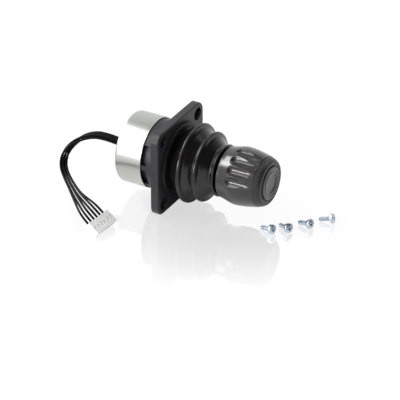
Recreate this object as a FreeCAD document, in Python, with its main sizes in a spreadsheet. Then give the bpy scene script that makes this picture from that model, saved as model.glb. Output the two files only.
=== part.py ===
import FreeCAD, Part

import math
import os

import Sketcher
from FreeCAD import Placement, Rotation, Vector

# Finger joystick for a panel: a square flange with a sealed gimbal behind it, a bellows
# boot and a twist knob with a push button in front of it, a screened can behind it,
# and six loose leads to a plug.
# The lever axis is X, from the can towards the knob. Z is up as the object lies, on the
# lower edge of its flange. The origin is on the lever axis, in the back face of the flange.

# Driving sizes: name, millimetres or degrees, what it is.
SIZES = [
    ("flange_side", 44.45, "square flange across its flats"),
    ("flange_thick", 4.0, "flange, back face to front face"),
    ("flange_corner", 5.2, "radius of the flange corners"),
    ("flange_edge", 0.5, "chamfer round the front of the flange"),
    ("screw_pitch", 33.32, "spacing of the four flange screws, both ways"),
    ("screw_hole", 1.6, "radius of a flange screw hole"),
    ("screw_recess", 3.3, "radius of the recess for a screw head"),
    ("recess_depth", 2.4, "depth of the recess for a screw head"),
    ("mouth_radius", 8.0, "radius of the flange opening for the lever"),
    ("mouth_wall", 1.8, "front wall round that opening"),
    ("neck_radius", 17.2, "outer radius of the neck behind the flange"),
    ("neck_wall", 1.8, "wall of the neck"),
    ("neck_length", 12.2, "neck behind the flange"),
    ("window_front", 5.5, "front edge of the neck windows, behind the flange"),
    ("window_rim", 1.2, "neck left behind the windows"),
    ("post_half", 4.5, "half angle of the narrow posts between windows"),
    ("window_sweep", 33.5, "angle of one window"),
    ("fit_gap", 0.05, "gap of a pushed fit between two housings"),
    ("run_gap", 0.04, "radial gap of a running pin or bush"),
    ("free_gap", 0.3, "gap between parts that move past each other"),
    ("pivot_back", 4.0, "gimbal centre behind the flange's back face"),
    ("pin_radius", 1.0, "radius of the gimbal pins"),
    ("ring_outer", 9.2, "outer radius of the gimbal ring"),
    ("ring_inner", 6.6, "inner radius of the gimbal ring"),
    ("ring_width", 4.6, "width of the gimbal ring along the lever"),
    ("ring_room", 11.2, "radius of the room in the flange for the gimbal ring"),
    ("pin_short", 0.2, "ends of the inner pin inside the ring's outside"),
    ("hub_radius", 5.0, "radius of the lever hub in the ring"),
    ("hub_length", 5.2, "length of the lever hub"),
    ("carrier_wall", 2.2, "wall of the gimbal carrier"),
    ("boss_half", 2.6, "half width of the carrier's pin bosses"),
    ("boss_reach", 9.6, "distance of a boss's inner end from the lever axis"),
    ("boss_root", 0.5, "depth of a boss inside the carrier's wall"),
    ("shaft_radius", 3.0, "radius of the lever shaft"),
    ("shaft_front", 41.5, "front end of the shaft before the flange's back face"),
    ("holder_radius", 3.4, "radius of the magnet holder"),
    ("holder_length", 3.4, "length of the magnet holder"),
    ("magnet_radius", 2.2, "radius of the sensor magnet"),
    ("magnet_length", 2.0, "length of the sensor magnet"),
    ("magnet_room", 1.5, "gap from the magnet to the sensor chips"),
    ("board_gap", 1.25, "gap from a circuit board to the can's wall"),
    ("board_thick", 1.2, "thickness of the circuit boards"),
    ("board_stand", 2.6, "gap from the carrier to the sensor board"),
    ("board_spacing", 3.6, "gap between the two circuit boards"),
    ("sensor_side", 3.0, "side of a sensor chip"),
    ("sensor_height", 0.9, "height of a sensor chip"),
    ("sensor_offset", 3.2, "sensor chips from the lever axis"),
    ("standoff_in", 1.45, "standoff centres inside the carrier's outside"),
    ("standoff_radius", 1.7, "radius of a board standoff"),
    ("board_screw", 0.8, "radius of a board screw"),
    ("board_screw_head", 1.5, "radius of a board screw head"),
    ("board_screw_rise", 0.9, "height of a board screw head"),
    ("board_screw_bite", 3.0, "depth of a board screw in the carrier"),
    ("can_wall", 0.6, "sheet of the can"),
    ("can_front", 8.57, "front edge of the can behind the flange"),
    ("can_room", 2.4, "rear face of the can behind the lead board"),
    ("can_shoulder", 1.7, "radius of the can's rear shoulder"),
    ("grommet_bore", 3.6, "radius of the cable hole in the can"),
    ("grommet_flange", 4.8, "radius of the grommet's two flanges"),
    ("grommet_rise", 1.0, "grommet flange outside the can"),
    ("grommet_edge", 0.6, "chamfer of the outer flange, and thickness of the inner one"),
    ("retainer_rim", 1.5, "width of the boot retainer outside the boot's foot"),
    ("retainer_hold", 1.6, "width of the retainer over the boot's foot"),
    ("retainer_rise", 1.5, "retainer above the flange"),
    ("small_chamfer", 0.4, "chamfer on small edges"),
    ("foot_radius", 17.3, "radius of the boot's foot under the retainer"),
    ("foot_thick", 0.8, "thickness of the boot's foot"),
    ("boot_wall", 0.8, "rubber wall of the boot"),
    ("foot_width", 2.4, "width of the boot's foot"),
    ("valley_b", 14.2, "boot radius between ridges one and two"),
    ("valley_c", 11.2, "boot radius between ridges two and three"),
    ("boot_top_radius", 9.4, "boot radius at its top end"),
    ("ridge_a", 19.9, "radius of the first ridge"),
    ("ridge_b", 17.45, "radius of the second ridge"),
    ("ridge_c", 12.9, "radius of the third ridge"),
    ("ridge_a_place", 12.65, "first ridge before the flange's back face"),
    ("ridge_b_place", 20.25, "second ridge before the flange's back face"),
    ("ridge_c_place", 27.9, "third ridge before the flange's back face"),
    ("ridge_lip", 0.85, "half thickness of a ridge's rounded rim"),
    ("boot_top", 29.4, "top end of the boot before the flange's back face"),
    ("seat_gap", 1.5, "gap from the spring seat to the boot's wall"),
    ("spring_seat_thick", 0.7, "thickness of the spring seat"),
    ("spring_radius", 9.4, "mean radius of the centring spring"),
    ("spring_wire", 1.2, "wire of the centring spring"),
    ("spring_turns", 4.0, "turns of the centring spring"),
    ("spring_top", 22.0, "top of the centring spring before the flange's back face"),
    ("spring_cap_radius", 10.6, "radius of the spring cap on the lever"),
    ("spring_cap_thick", 1.4, "thickness of the spring cap"),
    ("circlip_radius", 4.6, "outer radius of a retaining ring on the lever"),
    ("circlip_thick", 0.6, "thickness of a retaining ring"),
    ("circlip_open", 2.0, "opening of a retaining ring"),
    ("groove_depth", 0.5, "depth of a retaining ring groove"),
    ("collar_radius", 8.5, "radius of the boot collar on the lever"),
    ("collar_length", 3.2, "length of the boot collar"),
    ("knob_rear", 29.8, "rear edge of the knob before the flange's back face"),
    ("knob_collar_radius", 12.75, "radius of the knob's smooth collar"),
    ("knob_radius", 14.4, "largest radius of the knob"),
    ("knob_flare_rear", 31.0, "where the collar starts to flare"),
    ("knob_flare_front", 37.5, "where the grip reaches its full radius"),
    ("grip_front", 50.0, "front end of the grip shell"),
    ("grip_front_radius", 12.6, "radius of the grip at its front end"),
    ("grip_swell", 0.55, "bulge of the grip's side between its two ends"),
    ("collar_taper", 0.10, "widening of the collar up to the flare"),
    ("flare_hollow", 0.08, "hollow of the flare below its chord"),
    ("floor_fillet", 1.0, "chamfer inside the grip's rear corner"),
    ("knob_wall", 2.2, "wall of the grip shell"),
    ("knob_floor", 2.3, "rear wall of the grip shell"),
    ("flute_radius", 3.0, "radius of a finger flute"),
    ("flute_depth", 1.5, "depth of a finger flute"),
    ("flute_rear", 35.4, "rear end of the flutes"),
    ("flute_step", 22.0, "angle from one flute to the next"),
    ("flute_centre", 43.0, "middle of a group of flutes, from the top towards the viewer"),
    ("bezel_rise", 3.3, "front bezel, past the grip"),
    ("bezel_front_radius", 10.9, "radius of the bezel at its front"),
    ("bezel_lip", 1.5, "radius of the bezel's rounded edge"),
    ("bezel_spigot", 2.0, "depth of the bezel's spigot in the grip"),
    ("bezel_step", 0.15, "bezel inside the grip's front edge"),
    ("bezel_widen", 1.0, "widening of the bezel behind its rounded edge"),
    ("well_chamfer", 0.5, "chamfer at the mouth of the button's well"),
    ("button_radius", 8.3, "radius of the push button"),
    ("button_travel", 1.0, "travel of the push button"),
    ("button_rise", 0.5, "button face past the bezel"),
    ("button_seat", 0.6, "shoulder that keeps the button, before the grip's front end"),
    ("button_lip", 0.65, "width and thickness of the button's retaining lip"),
    ("button_wall", 1.1, "wall of the push button"),
    ("button_edge", 0.6, "chamfer of the button's rim, and slope of its dish"),
    ("button_dish", 5.5, "radius of the dished middle of the button"),
    ("button_dish_depth", 0.45, "depth of that dish"),
    ("stem_radius", 1.1, "radius of the button's stem"),
    ("bush_radius", 4.4, "outer radius of the knob bush"),
    ("bush_length", 7.5, "length of the knob bush"),
    ("twist_board_radius", 7.6, "radius of the board inside the knob"),
    ("switch_side", 6.0, "side of the tactile switch"),
    ("switch_height", 3.0, "height of the tactile switch with its plunger up"),
    ("switch_case", 2.5, "height of the switch case"),
    ("sensor_aside", 0.6, "twist sensor beside the switch"),
    ("plunger_radius", 1.2, "radius of the switch plunger"),
    ("switch_floor", 0.4, "floor of the switch case under its plunger"),
    ("twist_magnet_side", 2.6, "side of the twist magnet"),
    ("twist_magnet_length", 3.0, "length of the twist magnet"),
    ("twist_magnet_thick", 2.3, "thickness of the twist magnet"),
    ("twist_magnet_in", 0.1, "top of the twist magnet inside the shell's bore"),
    ("twist_spring_radius", 6.2, "mean radius of the twist spring"),
    ("twist_spring_wire", 1.0, "wire of the twist spring"),
    ("twist_spring_sweep", 320.0, "angle of the twist spring's open ring"),
    ("lead_radius", 0.56, "radius of one insulated lead"),
    ("lead_lane", 0.7, "sideways distance from lead to lead in the grommet"),
    ("lead_layer", 1.25, "height between the two rows of leads in the grommet"),
    ("plug_pitch", 2.5, "pitch of the plug contacts"),
    ("plug_width", 15.4, "width of the plug housing"),
    ("plug_length", 6.8, "length of the plug housing"),
    ("plug_height", 4.4, "height of the plug housing"),
    ("plug_slot", 1.9, "side of a contact cavity"),
    ("plug_slot_depth", 5.2, "depth of a contact cavity from the mating end"),
    ("latch_place", 2.6, "latch window from the plug's lead end"),
    ("latch_length", 2.2, "length of a latch window"),
    ("latch_width", 0.9, "width of a latch window"),
    ("latch_depth", 0.6, "depth of a latch window"),
    ("contact_side", 1.6, "side of a contact"),
    ("contact_wall", 0.3, "sheet of a contact"),
    ("contact_back", 0.6, "contact behind the plug's mating end"),
    ("contact_crimp", 1.6, "closed rear end of a contact"),
    ("plug_yaw", -4.1, "plug turned about the vertical"),
    ("plug_lean", 38.0, "nose of the plug turned down to the table"),
    ("plug_rear", 18.22, "lead end of the plug behind the flange's back face"),
    ("plug_side", 45.59, "middle of the plug to the near side of the lever axis"),
    ("loose_shank", 1.2, "radius of a loose screw's shank"),
    ("loose_length", 6.0, "length of a loose screw's shank"),
    ("loose_head", 2.45, "radius of a loose screw's head"),
    ("loose_rise", 1.9, "height of a loose screw's head"),
    ("loose_slot", 0.8, "width of the cross recess in a loose screw"),
    ("loose_cross", 1.5, "half span of that recess"),
    ("loose_cross_depth", 0.95, "depth of that recess"),
]

doc = FreeCAD.newDocument("finger_joystick")
sheet = doc.addObject("Spreadsheet::Sheet", "Sizes")
for row, (alias, value, meaning) in enumerate(SIZES, start=1):
    sheet.set("A%d" % row, meaning)
    sheet.set("B%d" % row, str(value))
    sheet.setAlias("B%d" % row, alias)
doc.recompute()


class Size:
    """A length that carries its number and the sheet expression that gives it."""

    def __init__(self, number, text):
        self.number = float(number)
        self.text = text

    def _with(self, sign, other, number, swap=False):
        mine = self.text
        theirs = other.text if isinstance(other, Size) else repr(float(other))
        if swap:
            mine, theirs = theirs, mine
        return Size(number, "(%s %s %s)" % (mine, sign, theirs))

    def __add__(self, other):
        return self._with("+", other, self.number + plain(other))

    def __radd__(self, other):
        return self._with("+", other, self.number + plain(other), True)

    def __sub__(self, other):
        return self._with("-", other, self.number - plain(other))

    def __rsub__(self, other):
        return self._with("-", other, plain(other) - self.number, True)

    def __mul__(self, other):
        return self._with("*", other, self.number * plain(other))

    def __rmul__(self, other):
        return self._with("*", other, self.number * plain(other), True)

    def __truediv__(self, other):
        return self._with("/", other, self.number / plain(other))

    def __neg__(self):
        return Size(-self.number, "(0.0 - %s)" % self.text)


def plain(value):
    """The number behind a size."""
    return value.number if isinstance(value, Size) else float(value)


class Sheet:
    """The driving sizes by name."""


s = Sheet()
for alias, value, meaning in SIZES:
    setattr(s, alias, Size(value, "Sizes." + alias))

parts = []
PAST = 1.0  # how far a cutter runs past the face it opens
QUARTER = 1.0 - math.cos(math.radians(45.0))  # rise of a quarter circle over its radius


def bind(thing, prop, value):
    """Set a property, and tie it to the sheet where the value is a size."""
    if isinstance(value, Size):
        thing.setExpression(prop, value.text)
    elif not prop.startswith("Placement."):
        setattr(thing, prop, value)


def place(thing, x=0.0, y=0.0, z=0.0, turn=None):
    """Put a primitive at x, y, z, turned by the given rotation."""
    thing.Placement = Placement(Vector(plain(x), plain(y), plain(z)), turn or Rotation())
    bind(thing, "Placement.Base.x", x)
    bind(thing, "Placement.Base.y", y)
    bind(thing, "Placement.Base.z", z)
    return thing


TURNS = {
    "X": Rotation(Vector(0, 1, 0), 90),
    "Y": Rotation(Vector(1, 0, 0), -90),
    "Z": Rotation(),
}


def rod(name, x, length, radius, y=0.0, z=0.0, along="X"):
    """A round rod from x, y, z, running along one axis."""
    solid = doc.addObject("Part::Cylinder", name)
    bind(solid, "Radius", radius)
    bind(solid, "Height", length)
    return place(solid, x, y, z, TURNS[along])


def block(name, x, y, z, dx, dy, dz):
    """A box with its low corner at x, y, z."""
    solid = doc.addObject("Part::Box", name)
    bind(solid, "Length", dx)
    bind(solid, "Width", dy)
    bind(solid, "Height", dz)
    return place(solid, x, y, z)


def cut(name, base, tools):
    """Base less its tools."""
    tool = tools[0] if len(tools) == 1 else join(name + "_tools", tools)
    solid = doc.addObject("Part::Cut", name)
    solid.Base = base
    solid.Tool = tool
    return solid


def join(name, pieces):
    """Several solids as one."""
    solid = doc.addObject("Part::MultiFuse", name)
    solid.Shapes = pieces
    return solid


def group(name, pieces):
    """Identical solids that share a name and stay separate."""
    solid = doc.addObject("Part::Compound", name)
    solid.Links = pieces
    return solid


def keep(thing, label):
    """Make a finished object one of the joystick's pieces."""
    thing.Label = label
    parts.append(thing)
    return thing


def pinned(sketch, item, end, x, y):
    """Hold one end of a sketch line or arc at x, y."""
    for kind, axis, value in (("DistanceX", -2, x), ("DistanceY", -1, y)):
        if abs(plain(value)) < 1e-9:
            sketch.addConstraint(Sketcher.Constraint("PointOnObject", item, end, axis))
            continue
        index = sketch.addConstraint(Sketcher.Constraint(kind, -1, 1, item, end, plain(value)))
        if isinstance(value, Size):
            sketch.setExpression("Constraints[%d]" % index, value.text)


def origin_plane(body, role):
    """One of a body's own origin planes."""
    return [item for item in body.Origin.OriginFeatures if item.Role == role][0]


def new_sketch(body, name, role, offset=None):
    """A sketch on an origin plane, moved along its normal by the offset."""
    sketch = body.newObject("Sketcher::SketchObject", name)
    sketch.AttachmentSupport = (origin_plane(body, role), [""])
    sketch.MapMode = "FlatFace"
    if offset is not None:
        sketch.AttachmentOffset = Placement(Vector(0, 0, plain(offset)), Rotation())
        bind(sketch, "AttachmentOffset.Base.z", offset)
    return sketch


def outline_sketch(body, name, points):
    """A closed outline in the XY plane, x along the lever and y the radius.

    A point is x, r, or x, r, rise, where the stretch that arrives there is an arc
    that stands off its chord by the rise, to the left of travel when positive.
    """
    sketch = new_sketch(body, name, "XY_Plane")
    count = len(points)
    ends = []
    for index in range(count):
        x0, r0 = points[index - 1][:2]
        x1, r1 = points[index][:2]
        first = Vector(plain(x0), plain(r0), 0)
        last = Vector(plain(x1), plain(r1), 0)
        if len(points[index]) == 2:
            sketch.addGeometry(Part.LineSegment(first, last))
            ends.append((1, 2))
            continue
        rise = plain(points[index][2])
        chord = last - first
        left = Vector(-chord.y, chord.x, 0).normalize()
        radius = chord.Length ** 2 / (8 * abs(rise)) + abs(rise) / 2
        centre = (first + last) * 0.5 + left * (rise - math.copysign(radius, rise))
        begin, end = (last, first) if rise > 0 else (first, last)
        start_angle = math.atan2(begin.y - centre.y, begin.x - centre.x)
        end_angle = math.atan2(end.y - centre.y, end.x - centre.x)
        if end_angle < start_angle:
            end_angle += 2 * math.pi
        circle = Part.Circle(centre, Vector(0, 0, 1), radius)
        sketch.addGeometry(Part.ArcOfCircle(circle, start_angle, end_angle))
        ends.append((2, 1) if rise > 0 else (1, 2))
    for index in range(count):
        follower = (index + 1) % count
        sketch.addConstraint(Sketcher.Constraint(
            "Coincident", index, ends[index][1], follower, ends[follower][0]))
        pinned(sketch, index, ends[index][1], points[index][0], points[index][1])
    for index in range(count):
        if len(points[index]) == 2:
            continue
        x0, r0 = points[index - 1][:2]
        x1, r1, rise = points[index]
        height = abs_size(rise)
        radius = ((x1 - x0) * (x1 - x0) + (r1 - r0) * (r1 - r0)) / (8.0 * height) + height / 2.0
        entry = sketch.addConstraint(Sketcher.Constraint("Radius", index, plain(radius)))
        if isinstance(radius, Size):
            sketch.setExpression("Constraints[%d]" % entry, radius.text)
    return sketch


def abs_size(value):
    """A size made positive."""
    return -value if plain(value) < 0 else value


def turned(name, points):
    """A solid of revolution about the lever axis."""
    body = doc.addObject("PartDesign::Body", name)
    sketch = outline_sketch(body, name + "_outline", points)
    solid = body.newObject("PartDesign::Revolution", name + "_turned")
    solid.Profile = sketch
    solid.ReferenceAxis = (sketch, ["H_Axis"])
    solid.Angle = 360.0
    body.Tip = solid
    return body


def ring(name, x, length, outer, inner):
    """A plain ring or tube about the lever axis."""
    return turned(name, [(x, inner), (x, outer), (x + length, outer), (x + length, inner)])


def coil(label, x, length, radius, wire, turns):
    """A round-wire spring about the lever axis, between the two end planes.

    Its centre line is a helix whose ends lie half a wire inside those planes.
    """
    pitch = (plain(length) - plain(wire)) / plain(turns)
    line = Part.makeHelix(pitch, plain(length) - plain(wire), plain(radius))
    start = line.Vertexes[0].Point
    lead = Vector(0, 2 * math.pi * plain(radius), pitch).normalize()
    section = Part.Wire(Part.makeCircle(plain(wire) / 2, start, lead))
    solid = Part.Wire(line).makePipeShell([section], True, True)
    spring = doc.addObject("Part::Feature", label)
    spring.Shape = solid
    spring.Placement = Placement(Vector(plain(x) + plain(wire) / 2, 0, 0), TURNS["X"])
    return spring


# The flange and its neck: one moulding, with a recess at each corner for a screw head,
# a stepped bore for the gimbal, and four windows in the neck where the can starts.
def flange_moulding():
    body = doc.addObject("PartDesign::Body", "flange_body")
    face = new_sketch(body, "flange_square", "YZ_Plane")
    half = s.flange_side / 2.0
    corners = [(-half, -half), (half, -half), (half, half), (-half, half)]
    for index, (y, z) in enumerate(corners):
        next_y, next_z = corners[(index + 1) % 4]
        face.addGeometry(Part.LineSegment(
            Vector(plain(y), plain(z), 0), Vector(plain(next_y), plain(next_z), 0)))
    for index, (y, z) in enumerate(corners):
        face.addConstraint(Sketcher.Constraint("Coincident", index - 1 if index else 3, 2, index, 1))
        pinned(face, index, 1, y, z)
    plate = body.newObject("PartDesign::Pad", "flange_plate")
    plate.Profile = face
    bind(plate, "Length", s.flange_thick)
    doc.recompute()

    rounded = body.newObject("PartDesign::Fillet", "flange_corners")
    sides = []
    for index, edge in enumerate(plate.Shape.Edges, start=1):
        run = edge.Vertexes[1].Point - edge.Vertexes[0].Point
        if abs(run.x) > plain(s.flange_thick) / 2:
            sides.append("Edge%d" % index)
    rounded.Base = (plate, sides)
    bind(rounded, "Radius", s.flange_corner)
    doc.recompute()

    softened = body.newObject("PartDesign::Chamfer", "flange_front_edge")
    rim = []
    for index, edge in enumerate(rounded.Shape.Edges, start=1):
        if all(abs(vertex.Point.x - plain(s.flange_thick)) < 1e-6 for vertex in edge.Vertexes):
            rim.append("Edge%d" % index)
    softened.Base = (rounded, rim)
    bind(softened, "Size", s.flange_edge)
    doc.recompute()

    circle = new_sketch(body, "neck_circle", "YZ_Plane")
    circle.addGeometry(Part.Circle(Vector(0, 0, 0), Vector(0, 0, 1), plain(s.neck_radius)))
    circle.addConstraint(Sketcher.Constraint("Coincident", 0, 3, -1, 1))
    index = circle.addConstraint(Sketcher.Constraint("Radius", 0, plain(s.neck_radius)))
    circle.setExpression("Constraints[%d]" % index, s.neck_radius.text)
    neck = body.newObject("PartDesign::Pad", "neck")
    neck.Profile = circle
    neck.Reversed = True
    bind(neck, "Length", s.neck_length)

    bore = outline_sketch(body, "bore_outline", [
        (-s.neck_length - PAST, 0.0),
        (-s.neck_length - PAST, s.neck_radius - s.neck_wall),
        (0.0, s.neck_radius - s.neck_wall),
        (0.0, s.ring_room),
        (s.flange_thick - s.mouth_wall, s.ring_room),
        (s.flange_thick - s.mouth_wall, s.mouth_radius),
        (s.flange_thick + PAST, s.mouth_radius),
        (s.flange_thick + PAST, 0.0),
    ])
    hollow = body.newObject("PartDesign::Groove", "stepped_bore")
    hollow.Profile = bore
    hollow.ReferenceAxis = (bore, ["H_Axis"])
    hollow.Angle = 360.0
    body.Tip = hollow
    return body


def corner_rods(name, x, length, radius):
    """Four rods on the flange's screw pattern."""
    half = s.screw_pitch / 2.0
    places = [(-half, -half), (half, -half), (half, half), (-half, half)]
    return [rod("%s_%d" % (name, index), x, length, radius, y, z)
            for index, (y, z) in enumerate(places, start=1)]


POST_ANGLES = (90.0, 270.0)  # the far and the near post, from the lowest point of the neck
window_rear = s.neck_length - s.window_rim


def window_wedges():
    """Four wedges that open the neck on both sides of the two narrow posts."""
    wedges = []
    for number, post in enumerate(POST_ANGLES, start=1):
        for side in (0, 1):
            wedge = doc.addObject("Part::Cylinder", "window_%d_%d" % (number, side))
            bind(wedge, "Radius", s.neck_radius + PAST)
            bind(wedge, "Height", window_rear - s.window_front)
            bind(wedge, "Angle", s.window_sweep)
            start = s.post_half if side == 0 else -s.post_half - s.window_sweep
            wedge.Placement = Placement(
                Vector(-plain(window_rear), 0, 0),
                Rotation(Vector(1, 0, 0), plain(start + post)) * TURNS["X"])
            bind(wedge, "Placement.Base.x", -window_rear)
            wedges.append(wedge)
    return wedges


cutters = corner_rods("screw_hole", -PAST, s.flange_thick + 2 * PAST, s.screw_hole)
cutters += corner_rods("screw_recess", s.flange_thick - s.recess_depth, s.recess_depth + PAST,
                       s.screw_recess)
cutters += window_wedges()
keep(cut("flange_housing", flange_moulding(), cutters), "flange_housing")


# The boot's foot is held on the flange by a plastic retainer ring, and a thin steel
# washer inside it carries the centring spring.
retainer_outer = s.foot_radius + s.retainer_rim
retainer_inner = s.foot_radius - s.retainer_hold
foot_neck = s.foot_radius - s.foot_width
spring_seat_outer = foot_neck - s.boot_wall - s.seat_gap
keep(turned("boot_retainer", [
    (s.flange_thick, s.foot_radius + s.fit_gap),
    (s.flange_thick, retainer_outer),
    (s.flange_thick + s.retainer_rise - s.small_chamfer, retainer_outer),
    (s.flange_thick + s.retainer_rise, retainer_outer - s.small_chamfer),
    (s.flange_thick + s.retainer_rise, retainer_inner),
    (s.flange_thick + s.foot_thick, retainer_inner),
    (s.flange_thick + s.foot_thick, s.foot_radius + s.fit_gap),
]), "boot_retainer")
keep(ring("spring_seat", s.flange_thick, s.spring_seat_thick, spring_seat_outer,
          s.mouth_radius), "spring_seat")


# The bellows boot: a rubber wall whose inside repeats its outside, one wall further in.
CROWN = 0.85  # rise of a ridge's rounded rim over its half thickness


def bellows(name):
    rises = [(s.ridge_a_place, s.ridge_a, foot_neck),
             (s.ridge_b_place, s.ridge_b, s.valley_b),
             (s.ridge_c_place, s.ridge_c, s.valley_c)]
    foot_top = s.flange_thick + s.foot_thick
    outside = [(s.flange_thick, s.foot_radius), (foot_top, s.foot_radius),
               (foot_top, foot_neck)]
    inside = [(s.flange_thick, foot_neck - s.boot_wall)]
    last = foot_top
    for number, (where, crest, valley) in enumerate(rises):
        if number:
            low = (last + where) / 2.0
            outside.append((low, valley))
            inside.append((low, valley - s.boot_wall))
        outside.append((where - s.ridge_lip, crest - s.ridge_lip))
        outside.append((where + s.ridge_lip, crest - s.ridge_lip, s.ridge_lip * CROWN))
        inside.append((where, crest - s.ridge_lip - s.boot_wall))
        last = where
    outside.append((s.boot_top, s.boot_top_radius))
    inside.append((s.boot_top - s.boot_wall, s.collar_radius + s.fit_gap))
    inside.append((s.boot_top, s.collar_radius + s.fit_gap))
    return turned(name, outside + inside[::-1])


keep(bellows("bellows_boot"), "bellows_boot")


# The gimbal carrier is a moulded ring pushed into the neck. Two bosses on it hold the
# outer pins, and its rear face carries the standoffs of the circuit boards.
carrier_outer = s.neck_radius - s.neck_wall - s.fit_gap
carrier_inner = carrier_outer - s.carrier_wall
standoff_circle = carrier_outer - s.standoff_in
pivot = -s.pivot_back
STANDOFF_ANGLES = (45.0, 135.0, 225.0, 315.0)


def on_circle(radius, angle):
    """Y and Z of a place on a circle about the lever axis."""
    y = radius * math.cos(math.radians(angle))
    z = radius * math.sin(math.radians(angle))
    return y, z


def board_rods(name, x, length, radius):
    """One rod at each standoff."""
    rods = []
    for index, angle in enumerate(STANDOFF_ANGLES, start=1):
        y, z = on_circle(standoff_circle, angle)
        rods.append(rod("%s_%d" % (name, index), x, length, radius, y, z))
    return rods


def carrier():
    shell = ring("carrier_ring", -s.neck_length, s.neck_length, carrier_outer, carrier_inner)
    root = carrier_inner + s.boss_root
    bosses = []
    for side, inner in (("near", -root), ("far", s.boss_reach)):
        bosses.append(block("carrier_boss_" + side, pivot - s.boss_half, inner, -s.boss_half,
                            s.boss_half * 2.0, root - s.boss_reach, s.boss_half * 2.0))
    bore = rod("carrier_pin_bore", pivot, (carrier_outer + PAST) * 2.0, s.pin_radius,
               -carrier_outer - PAST, 0.0, "Y")
    bites = board_rods("carrier_screw_bore", -s.neck_length - PAST, s.board_screw_bite + PAST,
                       s.board_screw)
    return cut("gimbal_carrier", join("carrier_blank", [shell] + bosses), [bore] + bites)


keep(carrier(), "gimbal_carrier")


def outer_pins():
    length = carrier_outer - s.ring_inner - s.free_gap
    near = rod("outer_pin_near", pivot, length, s.pin_radius, -carrier_outer, 0.0, "Y")
    far = rod("outer_pin_far", pivot, length, s.pin_radius, s.ring_inner + s.free_gap, 0.0, "Y")
    return group("outer_pivot_pins", [near, far])


keep(outer_pins(), "outer_pivot_pins")


# The gimbal ring turns on the outer pins and carries the lever on the inner pin.
def gimbal_ring():
    blank = ring("ring_blank", pivot - s.ring_width / 2.0, s.ring_width, s.ring_outer,
                 s.ring_inner)
    span = (s.ring_outer + PAST) * 2.0
    across = rod("ring_bore_y", pivot, span, s.pin_radius + s.run_gap, -s.ring_outer - PAST,
                 0.0, "Y")
    upright = rod("ring_bore_z", pivot, span, s.pin_radius + s.run_gap, 0.0,
                  -s.ring_outer - PAST, "Z")
    return cut("gimbal_ring", blank, [across, upright])


keep(gimbal_ring(), "gimbal_ring")
keep(rod("inner_pivot_pin", pivot, (s.ring_outer - s.pin_short) * 2.0, s.pin_radius, 0.0,
         s.pin_short - s.ring_outer, "Z"), "inner_pivot_pin")


# The lever shaft is a turned rod with a cross hole for the inner pin and two grooves
# for retaining rings. A hub on it fills the gimbal ring.
sensor_face = -s.neck_length - s.board_stand
holder_rear = sensor_face + s.sensor_height + s.magnet_room
shaft_rear = holder_rear + s.holder_length
cap_top = s.spring_top + s.spring_cap_thick
bush_front = s.knob_rear + s.bush_length


def lever_shaft():
    blank = turned("shaft_blank", [
        (shaft_rear, 0.0),
        (shaft_rear, s.shaft_radius),
        (cap_top, s.shaft_radius),
        (cap_top, s.shaft_radius - s.groove_depth),
        (cap_top + s.circlip_thick, s.shaft_radius - s.groove_depth),
        (cap_top + s.circlip_thick, s.shaft_radius),
        (bush_front + s.fit_gap, s.shaft_radius),
        (bush_front + s.fit_gap, s.shaft_radius - s.groove_depth),
        (bush_front + s.fit_gap + s.circlip_thick, s.shaft_radius - s.groove_depth),
        (bush_front + s.fit_gap + s.circlip_thick, s.shaft_radius),
        (s.shaft_front, s.shaft_radius),
        (s.shaft_front, 0.0),
    ])
    hole = rod("shaft_cross_hole", pivot, (s.shaft_radius + PAST) * 2.0, s.pin_radius, 0.0,
               -s.shaft_radius - PAST, "Z")
    return cut("lever_shaft", blank, [hole])


keep(lever_shaft(), "lever_shaft")


def lever_hub():
    blank = ring("hub_blank", pivot - s.hub_length / 2.0, s.hub_length, s.hub_radius,
                 s.shaft_radius)
    hole = rod("hub_cross_hole", pivot, (s.hub_radius + PAST) * 2.0, s.pin_radius, 0.0,
               -s.hub_radius - PAST, "Z")
    return cut("lever_hub", blank, [hole])


keep(lever_hub(), "lever_hub")


# The magnet holder is glued on the shaft's rear end, and the magnet sits in its mouth.
keep(cut("magnet_holder",
         rod("holder_blank", holder_rear, s.holder_length, s.holder_radius),
         [rod("holder_pocket", holder_rear - PAST, s.magnet_length + PAST, s.magnet_radius)]),
     "magnet_holder")
keep(rod("sensor_magnet", holder_rear, s.magnet_length, s.magnet_radius), "sensor_magnet")


# The centring spring stands between the seat on the flange and a cap on the lever,
# which a retaining ring holds up.
seat_top = s.flange_thick + s.spring_seat_thick
keep(coil("centering_spring", seat_top, s.spring_top - seat_top, s.spring_radius,
          s.spring_wire, s.spring_turns), "centering_spring")
keep(ring("spring_cap", s.spring_top, s.spring_cap_thick, s.spring_cap_radius,
          s.shaft_radius), "spring_cap")


def retaining_ring(name, x):
    """A split ring in a groove of the shaft, with its gap upwards."""
    blank = ring(name + "_blank", x, s.circlip_thick, s.circlip_radius,
                 s.shaft_radius - s.groove_depth)
    gap = block(name + "_gap", x - PAST, -s.circlip_open / 2.0, 0.0, s.circlip_thick + 2 * PAST,
                s.circlip_open, s.circlip_radius + PAST)
    return cut(name, blank, [gap])


keep(group("retaining_rings", [
    retaining_ring("cap_ring", cap_top),
    retaining_ring("knob_ring", bush_front + s.fit_gap),
]), "retaining_rings")


# The boot collar is a plastic bush on the lever that the boot's top end grips.
collar_front = s.knob_rear - s.free_gap
keep(ring("boot_collar", collar_front - s.collar_length, s.collar_length, s.collar_radius,
          s.shaft_radius), "boot_collar")


# The circuit boards: the sensor board faces the magnet, and the lead board behind it
# carries the output stage and the header that the leads are soldered to.
sensor_rear = sensor_face - s.board_thick
lead_face = sensor_rear - s.board_spacing
lead_rear = lead_face - s.board_thick
can_rear = lead_rear - s.can_room
can_inner = s.neck_radius + s.fit_gap
can_radius = can_inner + s.can_wall
board_radius = can_inner - s.board_gap


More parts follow.
